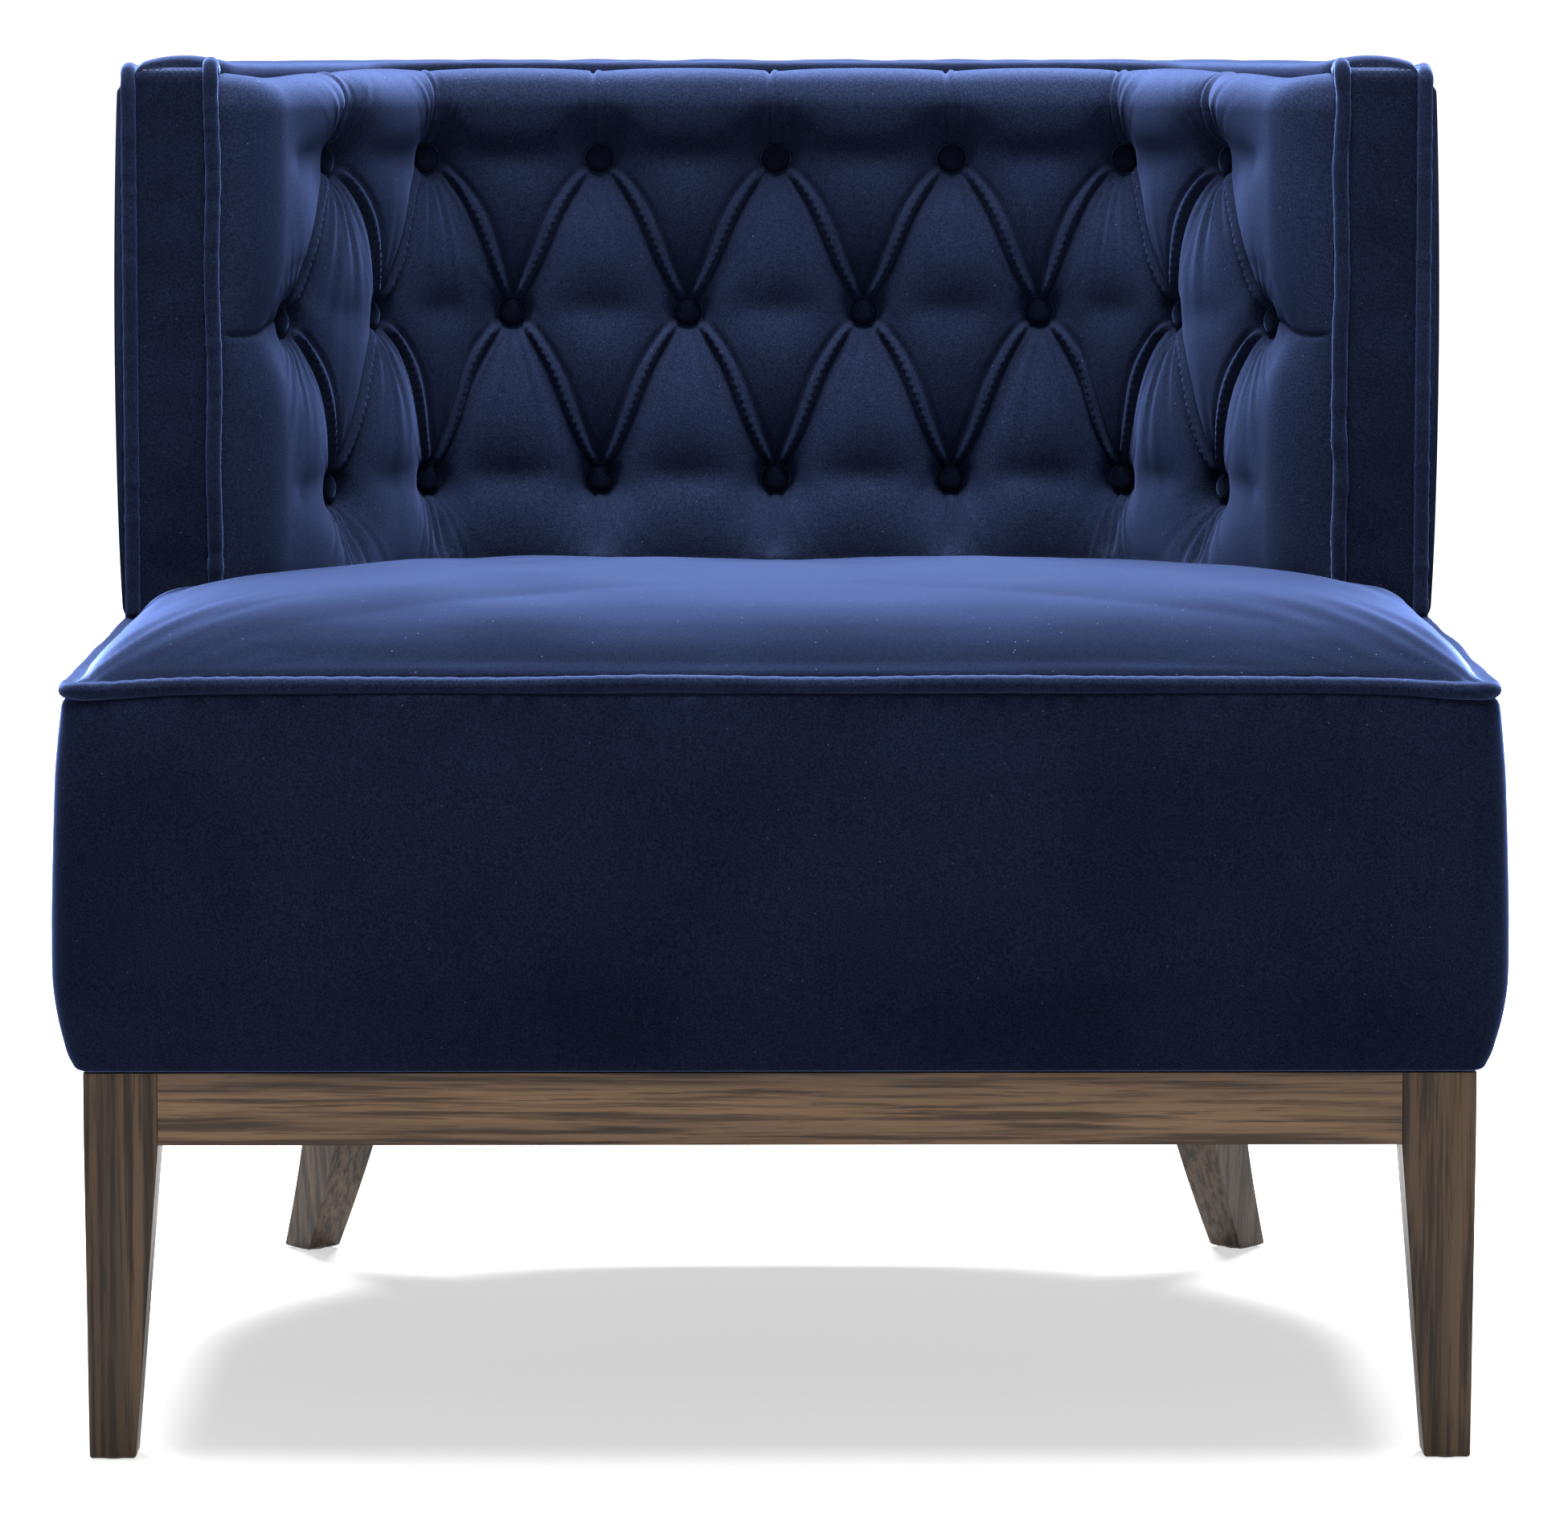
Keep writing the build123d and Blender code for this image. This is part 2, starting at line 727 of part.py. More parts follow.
def seat_plan(side_offset, gap):
    """Plan of the seat's foam: full width in front of the wings, then between them."""
    rear = wing_front - piping_overhang - gap
    in_front = Pos(0, rear - base_depth / 2) * Rectangle(2 * base_width, base_depth)
    wide = closed_outline(side_offset) & in_front
    edges = inner_edges(-back_foam_depth - cloth - gap, rear - cut_overrun)
    return wide + make_face([*edges, Line(edges[-1] @ 1, edges[0] @ 0)])


def crown_edge(start, inward, top, edge):
    """Points of the crown's curve from one edge inwards: edge, brow and shoulder."""
    brow = (start + seat_brow_inset * inward, top - seat_brow_drop)
    shoulder = (start + seat_shoulder_inset * inward, top - seat_shoulder_drop)
    return [(start, edge), brow, shoulder]


def crown_slab(curve, edge):
    """Face under a crown's curve, carried past the seat's edges so that only the curve cuts it."""
    low, over = body_bottom, cloth
    first, last = curve @ 0, curve @ 1
    a, b = first.X - over, last.X + over
    rest = Polyline((last.X, last.Y), (b, last.Y), (b, low), (a, low), (a, edge), (first.X, edge))
    return make_face([curve, *rest.edges()])


def crown_volume(drop, side_offset):
    """Space under the crowned top, lowered by drop: a lengthways curve and a sideways one."""
    edge, top = seam_height + seat_edge_height - drop, seat_crown_height - drop
    y0, y1, x = front_y - side_offset, button_line_y, half_width + side_offset
    peak = (front_y + seat_crown_setback, top)
    middle = (button_line_y - seat_middle_setback, top - seat_middle_drop)
    along = Spline(*crown_edge(y0, 1, top, edge), peak, middle, (y1, top - seat_rear_drop))
    flat_x, flat = half_width - seat_flat_inset, top - seat_crown_flat_drop
    crest = [(-flat_x, flat), (0, top), (flat_x, flat)]
    across = Spline(*crown_edge(-x, 1, top, edge), *crest, *reversed(crown_edge(x, -1, top, edge)))
    lengthways = Plane(origin=(-base_width, 0, 0), x_dir=(0, 1, 0), z_dir=(1, 0, 0))
    sideways = Plane(origin=(0, base_depth, 0), x_dir=(1, 0, 0), z_dir=(0, -1, 0))
    return (
        extrude(lengthways.location * crown_slab(along, edge), amount=2 * base_width, dir=(1, 0, 0)),
        extrude(sideways.location * crown_slab(across, edge), amount=2 * base_depth, dir=(0, -1, 0)),
    )


def seat_foam_core():
    """Foam block on the webbing."""
    plan = seat_plan(-frame_inset - fit_gap, fit_gap + cloth)
    return upright(plan, board_top + seat_foam_lift, seat_top_of_core)


def seat_top_solid(drop, side_offset, gap):
    """Crowned slab over the foam block."""
    plan = upright(seat_plan(side_offset, gap), seat_top_of_core, 2 * seat_crown_height)
    lengthways, sideways = crown_volume(drop, side_offset)
    return plan & lengthways & sideways


def seat_foam_topper():
    """Crowned top layer of the seat's foam."""
    return seat_top_solid(cloth, seat_edge_offset - cloth, fit_gap + cloth)


def seat_top_cover():
    """Velvet over the crowned seat."""
    return seat_top_solid(0.0, seat_edge_offset, fit_gap) - seat_foam_topper()


# ---------------------------------------------------------------- back frame


def back_plan(start_y=None):
    """Plan between the tufting board's rear face and the outside liner."""
    start = frame_front if start_y is None else start_y
    return between(outer_edges(-frame_inset, start), inner_edges(board_rear_face, start))


def back_bottom_plate():
    """Plywood plate under the back, on the seat's boards."""
    return upright(back_plan(), board_top, board_top + plate_thickness)


def back_top_plate():
    """Plywood plate that gives the back its plan at the top."""
    return upright(back_plan(), top_plate_top - plate_thickness, top_plate_top)


def rib(strip):
    """Upright between the plates, cut from the back's plan by a strip."""
    low, high = board_top + plate_thickness, top_plate_top - plate_thickness
    return upright(back_plan(), low, high) & upright(strip, low, high)


def wing_post():
    """Post behind the right wing's facing."""
    place = Pos(half_width / 2, frame_front + wing_post_depth / 2)
    return rib(place * Rectangle(half_width, wing_post_depth))


def rib_at(step):
    """Rib square to the right half of the button line, between two columns of buttons."""
    x, y, angle = button_place(step)
    place = Location((x, y, 0), (0, 0, -angle)) * Pos(0, base_corner_radius / 2)
    return rib(place * Rectangle(rib_thickness, base_corner_radius))


# ---------------------------------------------------------------- buttons


def button_place(step):
    """X, y and the outward angle of the button line at a number of pitches from the middle."""
    run = abs(step) * button_pitch
    side = 1 if step >= 0 else -1
    if run <= button_line_half_flat:
        return (side * run, button_line_y, 0.0)
    bend = (run - button_line_half_flat) / button_line_radius
    if bend <= turn:
        x, y = inner_point(0, bend * 180 / pi)
        return (side * x, y, side * bend * 180 / pi)
    rest = run - button_line_half_flat - button_line_radius * turn
    x, y = inner_point(0, wing_angle)
    return (side * (x + rest * cos(turn)), y - rest * sin(turn), side * wing_angle)


def button_steps():
    """Pitches and height of every button: full steps in the outer rows, half steps between."""
    found = []
    for row, height in enumerate(button_rows):
        first, shift = (1 - half_row_count, 0.0) if row % 2 == 0 else (-half_row_count, 0.5)
        found += [(i + shift, height) for i in range(first, half_row_count)]
    return found


def button_frames():
    """Planes at the buttons: z points out of the pad towards the sitter."""
    found = []
    for step, height in button_steps():
        x, y, angle = button_place(step)
        a = radians(angle)
        across, outward = (cos(a), -sin(a), 0), (-sin(a), -cos(a), 0)
        found.append(Plane(origin=(x, y, height), x_dir=across, z_dir=outward))
    return found


def well(extra=0.0):
    """Funnel that a button pulls into the foam, drawn on the Z axis from the button outwards."""
    top, low = back_foam_depth + cloth + cut_overrun, -cut_overrun - extra
    seat, mouth = button_radius + button_seat_gap + extra, well_mouth_radius + extra
    start, middle = (seat, low), ((seat + mouth) / 2.4, top * 0.45)
    wall = Spline(start, middle, (mouth, top), tangents=[(0, 1), (1, 0.7)])
    edges = [wall, *Polyline((mouth, top), (0, top), (0, low), start).edges()]
    return revolve(Plane.XZ.location * make_face(edges), axis=Axis.Z)


def tie_hole(radius):
    """Hole for a button's tie through foam and board."""
    depth = board_rear_face + cut_overrun
    return Pos(0, 0, -depth / 2) * Cylinder(radius, depth)


def button():
    """Cloth-covered button: a shallow dome on a disc."""
    sphere_radius = (button_radius**2 + button_dome**2) / (2 * button_dome)
    dome = Pos(0, 0, button_dome - sphere_radius) * Sphere(sphere_radius)
    cap = dome & Pos(0, 0, button_dome / 2) * Cylinder(button_radius, button_dome)
    return cap


def tie():
    """Twine from the button's loop to the washer behind the board."""
    length = board_rear_face + tie_washer_thickness
    return Pos(0, 0, -length / 2) * Cylinder(tie_radius, length)


def tie_washer():
    """Washer that anchors the tie behind the board."""
    ring = Cylinder(tie_washer_radius, tie_washer_thickness) - Cylinder(tie_radius, tie_washer_thickness)
    return Pos(0, 0, -board_rear_face - tie_washer_thickness / 2) * ring


def at_buttons(shape):
    """Copies of a shape at every button."""
    return [frame.location * shape for frame in button_frames()]


# ---------------------------------------------------------------- back upholstery


def tufting_board():
    """Thin plywood bent round the inside of the back, drilled for the ties."""
    rear, front = inner_edges(board_rear_face, frame_front), inner_edges(board_front_face, frame_front)
    board = upright(between(rear, front), back_foam_bottom - board_below_foam, top_plate_top)
    return board - at_buttons(tie_hole(tie_radius + fit_gap))


def pad_profile(depth, top, roll):
    """Profile of the padding against the board, as offset against height, with a rolled top edge."""
    low, step = back_foam_bottom, top_plate_top
    inner = -depth
    k = roll * (1 - diagonal)
    arc = ThreePointArc((inner + roll, top), (inner + k, top - k), (inner, top - roll))
    outline = Polyline(
        (inner, top - roll), (inner, low), (board_front_face, low), (board_front_face, step),
        (top_seam_offset, step), (top_seam_offset, top), (inner + roll, top),
    )
    return make_face([arc, *outline.edges()])


def pad_path(start_y):
    """Right half of the button line as a path, from the middle of the back to past the wing's front."""
    end, bend = inner_end(0, start_y), inner_point(0, wing_angle)
    mid, flat = inner_point(0, wing_angle / 2), inner_point(0, 0)
    return Wire([Line((0, flat[1]), flat), ThreePointArc(flat, mid, bend), Line(bend, end)])


def nose_waste(depth, start_y, nose, top):
    """Waste at the right wing's inner front edge, which leaves the edge round."""
    x, y = inner_end(-depth, start_y)
    run = nose / tan((pi - turn) / 2)
    a, b = (x + run, y), (x - run * cos(turn), y + run * sin(turn))
    centre = (x + run, y + nose)
    reach = sqrt(run**2 + nose**2)
    ease = 0.985 * nose / reach
    mid = (centre[0] - run * ease, centre[1] - nose * ease)
    over = (x - nose, y - nose)
    outline = Polyline(a, (a[0], over[1]), over, (over[0], b[1]), b)
    return upright(make_face([ThreePointArc(b, mid, a), *outline.edges()]), 0, 2 * top)


def pad_solid(depth, top, roll, start_y, nose):
    """Padding from wing front to wing front, with room for the wing's piping and facing."""
    start = Plane(origin=(0, button_line_y, 0), x_dir=(0, 1, 0), z_dir=(1, 0, 0))
    half = sweep(start.location * pad_profile(depth, top, roll), path=pad_path(start_y - pad_overrun))
    half -= slab(0, base_width, front_y, start_y, 0, 2 * top)
    edge_x = inner_piping_x - piping_radius - fit_gap
    half -= slab(edge_x, base_width, start_y - cut_overrun, frame_front, 0, 2 * top)
    half -= nose_waste(depth, start_y, nose, top)
    return half + mirrored(half)


def back_padding(extra):
    """Foam, or foam and cloth, with a well at every button."""
    start = wing_front + pad_setback + cloth - extra
    depth, top, roll = back_foam_depth + extra, back_foam_top + extra, back_roll_radius + extra
    solid = pad_solid(depth, top, roll, start, wing_nose_radius)
    solid -= at_buttons(well(cloth - extra))
    return solid - at_buttons(tie_hole(tie_radius + fit_gap))


def beyond(step):
    """Space on the right wing's side of a number of pitches along the button line."""
    x, y, angle = button_place(step)
    ahead = slab(0, wing_length, -wing_length, wing_length, 0, back_height)
    return Location((x, y, 0), (0, 0, -angle)) * ahead


def back_foams(padding):
    """The foam cut where its sheets are glued, between buttons: the back, two corners and two wings."""
    side, wing = beyond(corner_foam_ratio), beyond(wing_foam_ratio)
    centre = padding - side - mirrored(side)
    return centre, (padding & side) - wing, padding & wing


def back_buttons():
    """All buttons."""
    return group(at_buttons(button()))


def button_ties():
    """All ties."""
    return group(at_buttons(tie()))


def tie_washers():
    """All washers behind the board."""
    return group(at_buttons(tie_washer()))


# ---------------------------------------------------------------- wing fronts, top and outside


def facing_solid(depth0, depth1, top):
    """Upright strip between the two pipings of the right wing's front."""
    x0 = inner_piping_x + piping_radius + fit_gap
    x1 = half_width + outer_piping_offset - piping_radius - fit_gap
    return slab(x0, x1, wing_front + depth0, wing_front + depth1, cover_bottom, top)


def facing_cover():
    """Velvet of the right wing's front."""
    return facing_solid(0, cloth, facing_top)


def facing_foam():
    """Thin foam under the facing."""
    return facing_solid(cloth, facing_thickness, facing_top)


def inner_piping():
    """Welt cord up the inner edge of the right wing's front, turned back over the top."""
    x, y, top, r = inner_piping_x, wing_front + piping_setback, outer_piping_height, piping_turn
    k = r * (1 - diagonal)
    path = Wire(
        [
            Line((x, y, cover_bottom), (x, y, top - r)),
            ThreePointArc((x, y, top - r), (x, y + k, top - k), (x, y + r, top)),
        ]
    )
    return sweep(Pos(x, y, cover_bottom) * Circle(piping_radius), path=path)


def outer_piping():
    """Welt cord up the outer edge of one wing, round the back's top edge and down the other wing."""
    o, y, top, r = outer_piping_offset, wing_front + piping_setback, outer_piping_height, piping_turn
    x, big = half_width + o, base_corner_radius + o
    k, m = r * (1 - diagonal), big * diagonal
    path = Wire(
        [
            Line((x, y, cover_bottom), (x, y, top - r)),
            ThreePointArc((x, y, top - r), (x, y + k, top - k), (x, y + r, top)),
            Line((x, y + r, top), (x, arc_y, top)),
            ThreePointArc((x, arc_y, top), (arc_x + m, arc_y + m, top), (arc_x, rear_y + o, top)),
            Line((arc_x, rear_y + o, top), (0, rear_y + o, top)),
        ]
    )
    half = sweep(Pos(x, y, cover_bottom) * Circle(piping_radius), path=path)
    return half + mirrored(half)


def top_block(outer, inner, start_y, low, high, round_over):
    """Crescent over the back's top, rounded along its upper edges."""
    face = between(outer_edges(outer, start_y), inner_edges(inner, start_y))
    block = upright(face, low, high)
    return fillet(block.faces().sort_by(Axis.Z)[-1].edges(), round_over)


def top_foam_solid():
    """Rounded foam strip over the top, before it is notched over the facing."""
    outer = outer_piping_offset - piping_radius - fit_gap - cloth
    inner = top_seam_offset + fit_gap + cloth
    start = wing_front + 2 * cloth
    return top_block(outer, inner, start, top_plate_top, top_foam_height, top_foam_round)


def facing_room(height):
    """Space in front of the frame that the facing takes."""
    return slab(-base_width, base_width, front_y, frame_front, 0, height)


def back_top_foam():
    """Foam strip over the top plate."""
    foam = top_foam_solid() - facing_room(outer_piping_height - fit_gap)
    return foam - inner_piping() - mirrored(inner_piping())


def back_top_cover():
    """Velvet band over the top, from the tufted cover's seam to the outer piping."""
    outer = outer_piping_offset - piping_radius - fit_gap
    inner = top_seam_offset + fit_gap
    start, low = wing_front + cloth, outer_cover_top + fit_gap
    band = top_block(outer, inner, start, low, back_height, top_foam_round + cloth)
    band = band - top_foam_solid() - facing_room(facing_top + fit_gap)
    return band - inner_piping() - mirrored(inner_piping())


def outside_wall(inner, outer, start_y, low, high):
    """Wall of even thickness round the outside of the back."""
    return upright(between(outer_edges(outer, start_y), outer_edges(inner, start_y)), low, high)


def back_outer_liner():
    """Fibreboard bent round the ribs."""
    return outside_wall(-frame_inset, liner_offset, frame_front, cover_bottom, top_plate_top)


def back_outer_pad():
    """Wadding over the fibreboard."""
    start = wing_front + piping_setback + piping_radius + fit_gap
    return outside_wall(liner_offset, outer_pad_offset, start, cover_bottom, outer_cover_top)


def back_outer_cover():
    """Velvet round the outside of the back."""
    outer = outer_pad_offset + cloth
    return outside_wall(outer_pad_offset, outer, wing_front + cloth, cover_bottom, outer_cover_top)


# ---------------------------------------------------------------- write every sub-part


def sided(name, right):
    """A right-hand part and its mirror image under their own names."""
    return {f"{name}_right": right, f"{name}_left": mirrored(right)}


def all_parts():
    """Every sub-part by name."""
    front_apron, apron_right, apron_left, rear_apron = aprons()
    foam = back_padding(0.0)
    centre_foam, corner_foam, wing_foam = back_foams(foam)
    foot_x, foot_y = front_foot_centre()
    rear_glide = in_corner(Pos(0, rear_foot_out()) * glide())
    parts = {
        **sided("front_leg", front_leg()),
        **sided("rear_leg", rear_leg()),
        "front_apron": front_apron,
        "side_apron_right": apron_right,
        "side_apron_left": apron_left,
        "rear_apron": rear_apron,
        "front_corner_blocks": pair(front_block()),
        "rear_corner_blocks": pair(rear_block()),
        "rear_leg_dowels": pair(in_corner(group(corner_dowels()))),
        "leg_bolts": pair(group([front_leg_bolt(), in_corner(corner_leg_bolt())])),
        "leg_nuts": pair(group([front_leg_nut(), in_corner(corner_leg_nut())])),
        "body_bolts": group(all_body_bolts()),
        "leg_glides": pair(group([Pos(foot_x, foot_y) * glide(), rear_glide])),
        "dust_cover": dust_cover(),
        "seat_front_board": seat_front_board(),
        **sided("seat_side_board", seat_side_board()),
        "seat_rear_board": seat_rear_board(),
        "seat_front_blocks": seat_front_blocks(),
        "seat_rear_blocks": seat_rear_blocks(),
        "seat_cross_rail": seat_cross_rail(),
        "webbing_lengthwise": long_straps(),
        "webbing_crosswise": cross_straps(),
        "seat_foam_core": seat_foam_core(),
        "seat_foam_topper": seat_foam_topper(),
        "seat_border_foam": seat_border_foam(),
        "seat_border_cover": seat_border_cover(),
        "seat_top_cover": seat_top_cover(),
        "seat_piping": seat_piping(),
        "back_bottom_plate": back_bottom_plate(),
        "back_top_plate": back_top_plate(),
        **sided("wing_post", wing_post()),
        "wing_ribs": pair(rib_at(wing_rib_ratio)),
        "corner_ribs": pair(rib_at(corner_rib_ratio)),
        "rear_ribs": pair(rib_at(rear_rib_ratio)),
        "tufting_board": tufting_board(),
        "back_foam": centre_foam,
        "corner_foams": pair(corner_foam),
        **sided("wing_foam", wing_foam),
        "back_inner_cover": back_padding(cloth) - foam,
        "back_buttons": back_buttons(),
        "button_ties": button_ties(),
        "tie_washers": tie_washers(),
        "facing_foams": pair(facing_foam()),
        **sided("facing_cover", facing_cover()),
        **sided("inner_piping", inner_piping()),
        "outer_piping": outer_piping(),
        "back_top_foam": back_top_foam(),
        "back_top_cover": back_top_cover(),
        "back_outer_liner": back_outer_liner(),
        "back_outer_pad": back_outer_pad(),
        "back_outer_cover": back_outer_cover(),
    }
    return parts


def main():
    os.makedirs("parts", exist_ok=True)
    for name, shape in all_parts().items():
        export_step(shape, f"parts/{name}.step")


main()
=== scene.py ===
"""Slipper chair: the velvet, piping, buttons and wood finish that dress the chair's own frame.

Lengths are in metres and every piece stands in the frame's axes: X across the chair, Y from the front to
the rear, Z up. A "run" is a length along the line of buttons from the middle of the back, and a "rise" is a
length up the back pad's face and over its rolled top.
"""

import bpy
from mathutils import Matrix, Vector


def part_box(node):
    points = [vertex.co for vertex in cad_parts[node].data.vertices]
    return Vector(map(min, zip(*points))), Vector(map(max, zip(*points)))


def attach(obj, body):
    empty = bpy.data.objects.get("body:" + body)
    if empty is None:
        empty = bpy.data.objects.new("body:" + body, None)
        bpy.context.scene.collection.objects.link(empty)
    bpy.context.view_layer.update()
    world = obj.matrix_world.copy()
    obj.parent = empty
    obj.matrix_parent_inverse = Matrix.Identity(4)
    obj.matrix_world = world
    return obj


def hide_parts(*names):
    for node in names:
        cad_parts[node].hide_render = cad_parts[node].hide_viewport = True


bl_info = {
    "name": "Slipper Chair Upholstery",
    "version": (1, 0, 0),
    "blender": (4, 5, 0),
    "location": "3D View > Sidebar > Slipper Chair",
    "description": "Makes the velvet, piping, buttons and finishes of a slipper chair",
    "category": "Object",
}

from math import cos, pi, radians, sin, tan

import bpy
import numpy as np
from bpy.props import FloatProperty, FloatVectorProperty, IntProperty, PointerProperty
from mathutils import Vector

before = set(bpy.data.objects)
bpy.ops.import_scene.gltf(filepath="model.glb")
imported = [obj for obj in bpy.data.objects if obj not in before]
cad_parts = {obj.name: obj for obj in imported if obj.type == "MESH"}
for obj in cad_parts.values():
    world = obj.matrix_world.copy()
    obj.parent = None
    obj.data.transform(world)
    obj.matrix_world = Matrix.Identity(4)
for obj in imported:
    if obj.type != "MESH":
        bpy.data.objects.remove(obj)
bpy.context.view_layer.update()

MM = 0.001
BODY = "root"
MIRROR = np.array([-1.0, 1.0])  # to the chair's other side, in plan
HALF_DIAGONAL = 0.7071  # of a unit square

# ------------------------------------------------------------------ places taken from the frame

half_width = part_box("front_leg_right")[1].x
front_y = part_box("front_apron")[0].y
rear_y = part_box("rear_apron")[1].y
straight_end_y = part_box("seat_rear_board")[0].y
corner_radius = rear_y - straight_end_y
front_corner_radius = 5 * MM
body_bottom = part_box("seat_border_cover")[0].z

seat_piping_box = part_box("seat_piping")
piping_radius = (seat_piping_box[1].z - seat_piping_box[0].z) / 2
seam_height = (seat_piping_box[1].z + seat_piping_box[0].z) / 2
piping_offset = seat_piping_box[1].x - piping_radius - half_width

facing_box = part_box("facing_cover_right")
wing_front = facing_box[0].y
cover_bottom = facing_box[0].z
inner_piping_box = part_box("inner_piping_right")
inner_piping_x = (inner_piping_box[0].x + inner_piping_box[1].x) / 2
inner_piping_y = inner_piping_box[0].y + piping_radius
outer_piping_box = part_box("outer_piping")
outer_piping_offset = outer_piping_box[1].x - piping_radius - half_width
outer_piping_height = outer_piping_box[1].z - piping_radius
outer_cover_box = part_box("back_outer_cover")
outer_cover_offset = outer_cover_box[1].x - half_width
frame_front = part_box("wing_post_right")[0].y
top_plate_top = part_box("back_top_plate")[1].z
top_cover_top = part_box("back_top_cover")[1].z
button_line_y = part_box("back_buttons")[1].y
pad_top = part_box("back_inner_cover")[1].z + 6 * MM
pad_front_y = wing_front + 1.2 * MM
pad_bottom = seam_height + 6 * MM
facing_top = facing_box[1].z + 6 * MM
outer_cord_top = outer_piping_height + 2.5 * MM
inner_cord_top = outer_piping_height + 5.5 * MM


# ------------------------------------------------------------------ sizes and colours


def length_setting(name, description, millimetres):
    """A length that the sidebar shows."""
    return FloatProperty(name=name, description=description, default=millimetres * MM, unit="LENGTH")


def angle_setting(name, description, degrees):
    """An angle that the sidebar shows."""
    return FloatProperty(name=name, description=description, default=radians(degrees), subtype="ANGLE")


def colour_setting(name, description, value):
    """A colour that the sidebar shows."""
    return FloatVectorProperty(name=name, description=description, default=value, subtype="COLOR")


class SeatSizes(bpy.types.PropertyGroup):
    """Sizes of the seat's border and crown."""

    corner_flare: length_setting("Corner flare", "How far the piping stands out at a front corner", 2.6)
    corner_droop: length_setting("Corner droop", "How far the piping sags at a front corner", 3.4)
    piping_wave: length_setting("Piping wave", "Unevenness of a hand-sewn piping line", 0.4)
    seam_pucker: length_setting("Seam pucker", "Depth of the small gathers along the piping", 0.4)
    crown_height: length_setting("Crown height", "Height of the seat's crown over the floor", 469.5)
    crown_setback: length_setting("Crown setback", "How far the highest point lies behind the front", 235)
    crown_rear_drop: length_setting("Rear drop", "Fall of the crown from its highest point to the back", 27)
    crown_cell: length_setting("Crown cell", "Size of the crown's mesh cells", 4.0)


class BackSizes(bpy.types.PropertyGroup):
    """Sizes of the buttoned back pad."""

    button_pitch: length_setting("Button pitch", "Distance between the buttons of a row", 107)
    button_rows: FloatVectorProperty(
        name="Button rows", description="Heights of the three rows, from the top",
        default=(688.5 * MM, 595.5 * MM, 494 * MM), size=3, unit="LENGTH")
    half_flat: length_setting("Half flat", "Half the straight length of the button line", 185)
    bend_radius: length_setting("Bend radius", "Radius of the button line in the corners", 60)
    wing_angle: angle_setting("Wing angle", "Turn of the wings out of the plane of the back", 63)
    pad_depth: length_setting("Pad depth", "Thickness of the padding over the buttons' seats", 26)
    roll_radius: length_setting("Roll radius", "Radius of the pad's top edge", 26)
    roll_turn: angle_setting("Roll turn", "How far the pad turns over before its top seam", 103)
    nose_radius: length_setting("Nose radius", "Radius of the pad's turn on to the wing's front", 46)
    nose_ease: length_setting("Nose ease", "Fall of the padding at the turn on to a wing's front", 4)
    pad_cell: length_setting("Pad cell", "Size of the pad's mesh cells", 1.4)
    puff: FloatProperty(
        name="Puff", description="Fullness of the padding between the pleats", default=0.024, min=0)
    pleat_depth: length_setting("Pleat depth", "How far a pleat is drawn in half way between buttons", 13)
    row_depth: length_setting("Row depth", "How far the cover is drawn in between the buttons of a row", 11)
    pleat_width: length_setting("Pleat width", "Width of a folded pleat", 8.5)
    well_width: length_setting("Well width", "Radius of the hollow round a button", 34)
    wrinkle: length_setting("Wrinkle", "Height of the fine creases round a button", 1.1)
    seed: IntProperty(name="Seed", description="Seed of the uneven handwork", default=7)


class Finishes(bpy.types.PropertyGroup):
    """Colours of the visible materials."""

    velvet_deep: colour_setting("Velvet, deep", "Velvet seen square on", (0.0032, 0.0047, 0.0108))
    velvet_lit: colour_setting("Velvet, lit", "Velvet where the pile lies towards the light",
                               (0.0045, 0.0066, 0.0155))
    velvet_sheen: colour_setting("Velvet sheen", "Tint of the pile's sheen", (0.26, 0.40, 1.0))
    wood_dark: colour_setting("Wood, dark", "Late wood and pores", (0.022, 0.016, 0.012))
    wood_mid: colour_setting("Wood, middle", "The wood's general brown", (0.080, 0.050, 0.031))
    wood_light: colour_setting("Wood, light", "Warm streaks", (0.145, 0.088, 0.050))


def seat_sizes():
    """The seat's sizes as the sidebar has them."""
    return bpy.context.scene.slipper_seat


def back_sizes():
    """The back's sizes as the sidebar has them."""
    return bpy.context.scene.slipper_back


def finishes():
    """The colours as the sidebar has them."""
    return bpy.context.scene.slipper_finishes


# ------------------------------------------------------------------ small helpers


def ease(t):
    """0 to 1 with level ends, for t from 0 to 1."""
    t = np.clip(t, 0.0, 1.0)
    return t * t * (3 - 2 * t)


def bump(x, width):
    """A smooth hill of height 1 at 0."""
    return np.exp(-((x / width) ** 2))


def ripple(q, length, shortest, longest, seed, count=9):
    """Uneven waves of about unit height along a closed length."""
    rng = np.random.default_rng(seed)
    low, high = max(1, round(length / longest)), max(2, round(length / shortest))
    cycles = rng.integers(low, high + 1, count)
    phases = rng.uniform(0, 2 * pi, count)
    total = sum(np.sin(2 * pi * c * q / length + p) for c, p in zip(cycles, phases))
    return total / np.sqrt(count / 2)


def curve_through(points, x):
    """Smooth curve through a few points, read at x."""
    px, py = np.array(points, float).T
    slope = np.gradient(py, px)
    i = np.clip(np.searchsorted(px, x) - 1, 0, len(px) - 2)
    span = px[i + 1] - px[i]
    t = np.clip((x - px[i]) / span, 0, 1)
    a, b = py[i], py[i + 1]
    return (
        a * (1 + 2 * t) * (1 - t) ** 2
        + span * slope[i] * t * (1 - t) ** 2
        + b * t * t * (3 - 2 * t)
        - span * slope[i + 1] * t * t * (1 - t)
    )


def steps(start, end, spacing):
    """Evenly spaced values from start to end, about a spacing apart."""
    return np.linspace(start, end, max(2, int(round(abs(end - start) / spacing)) + 1))


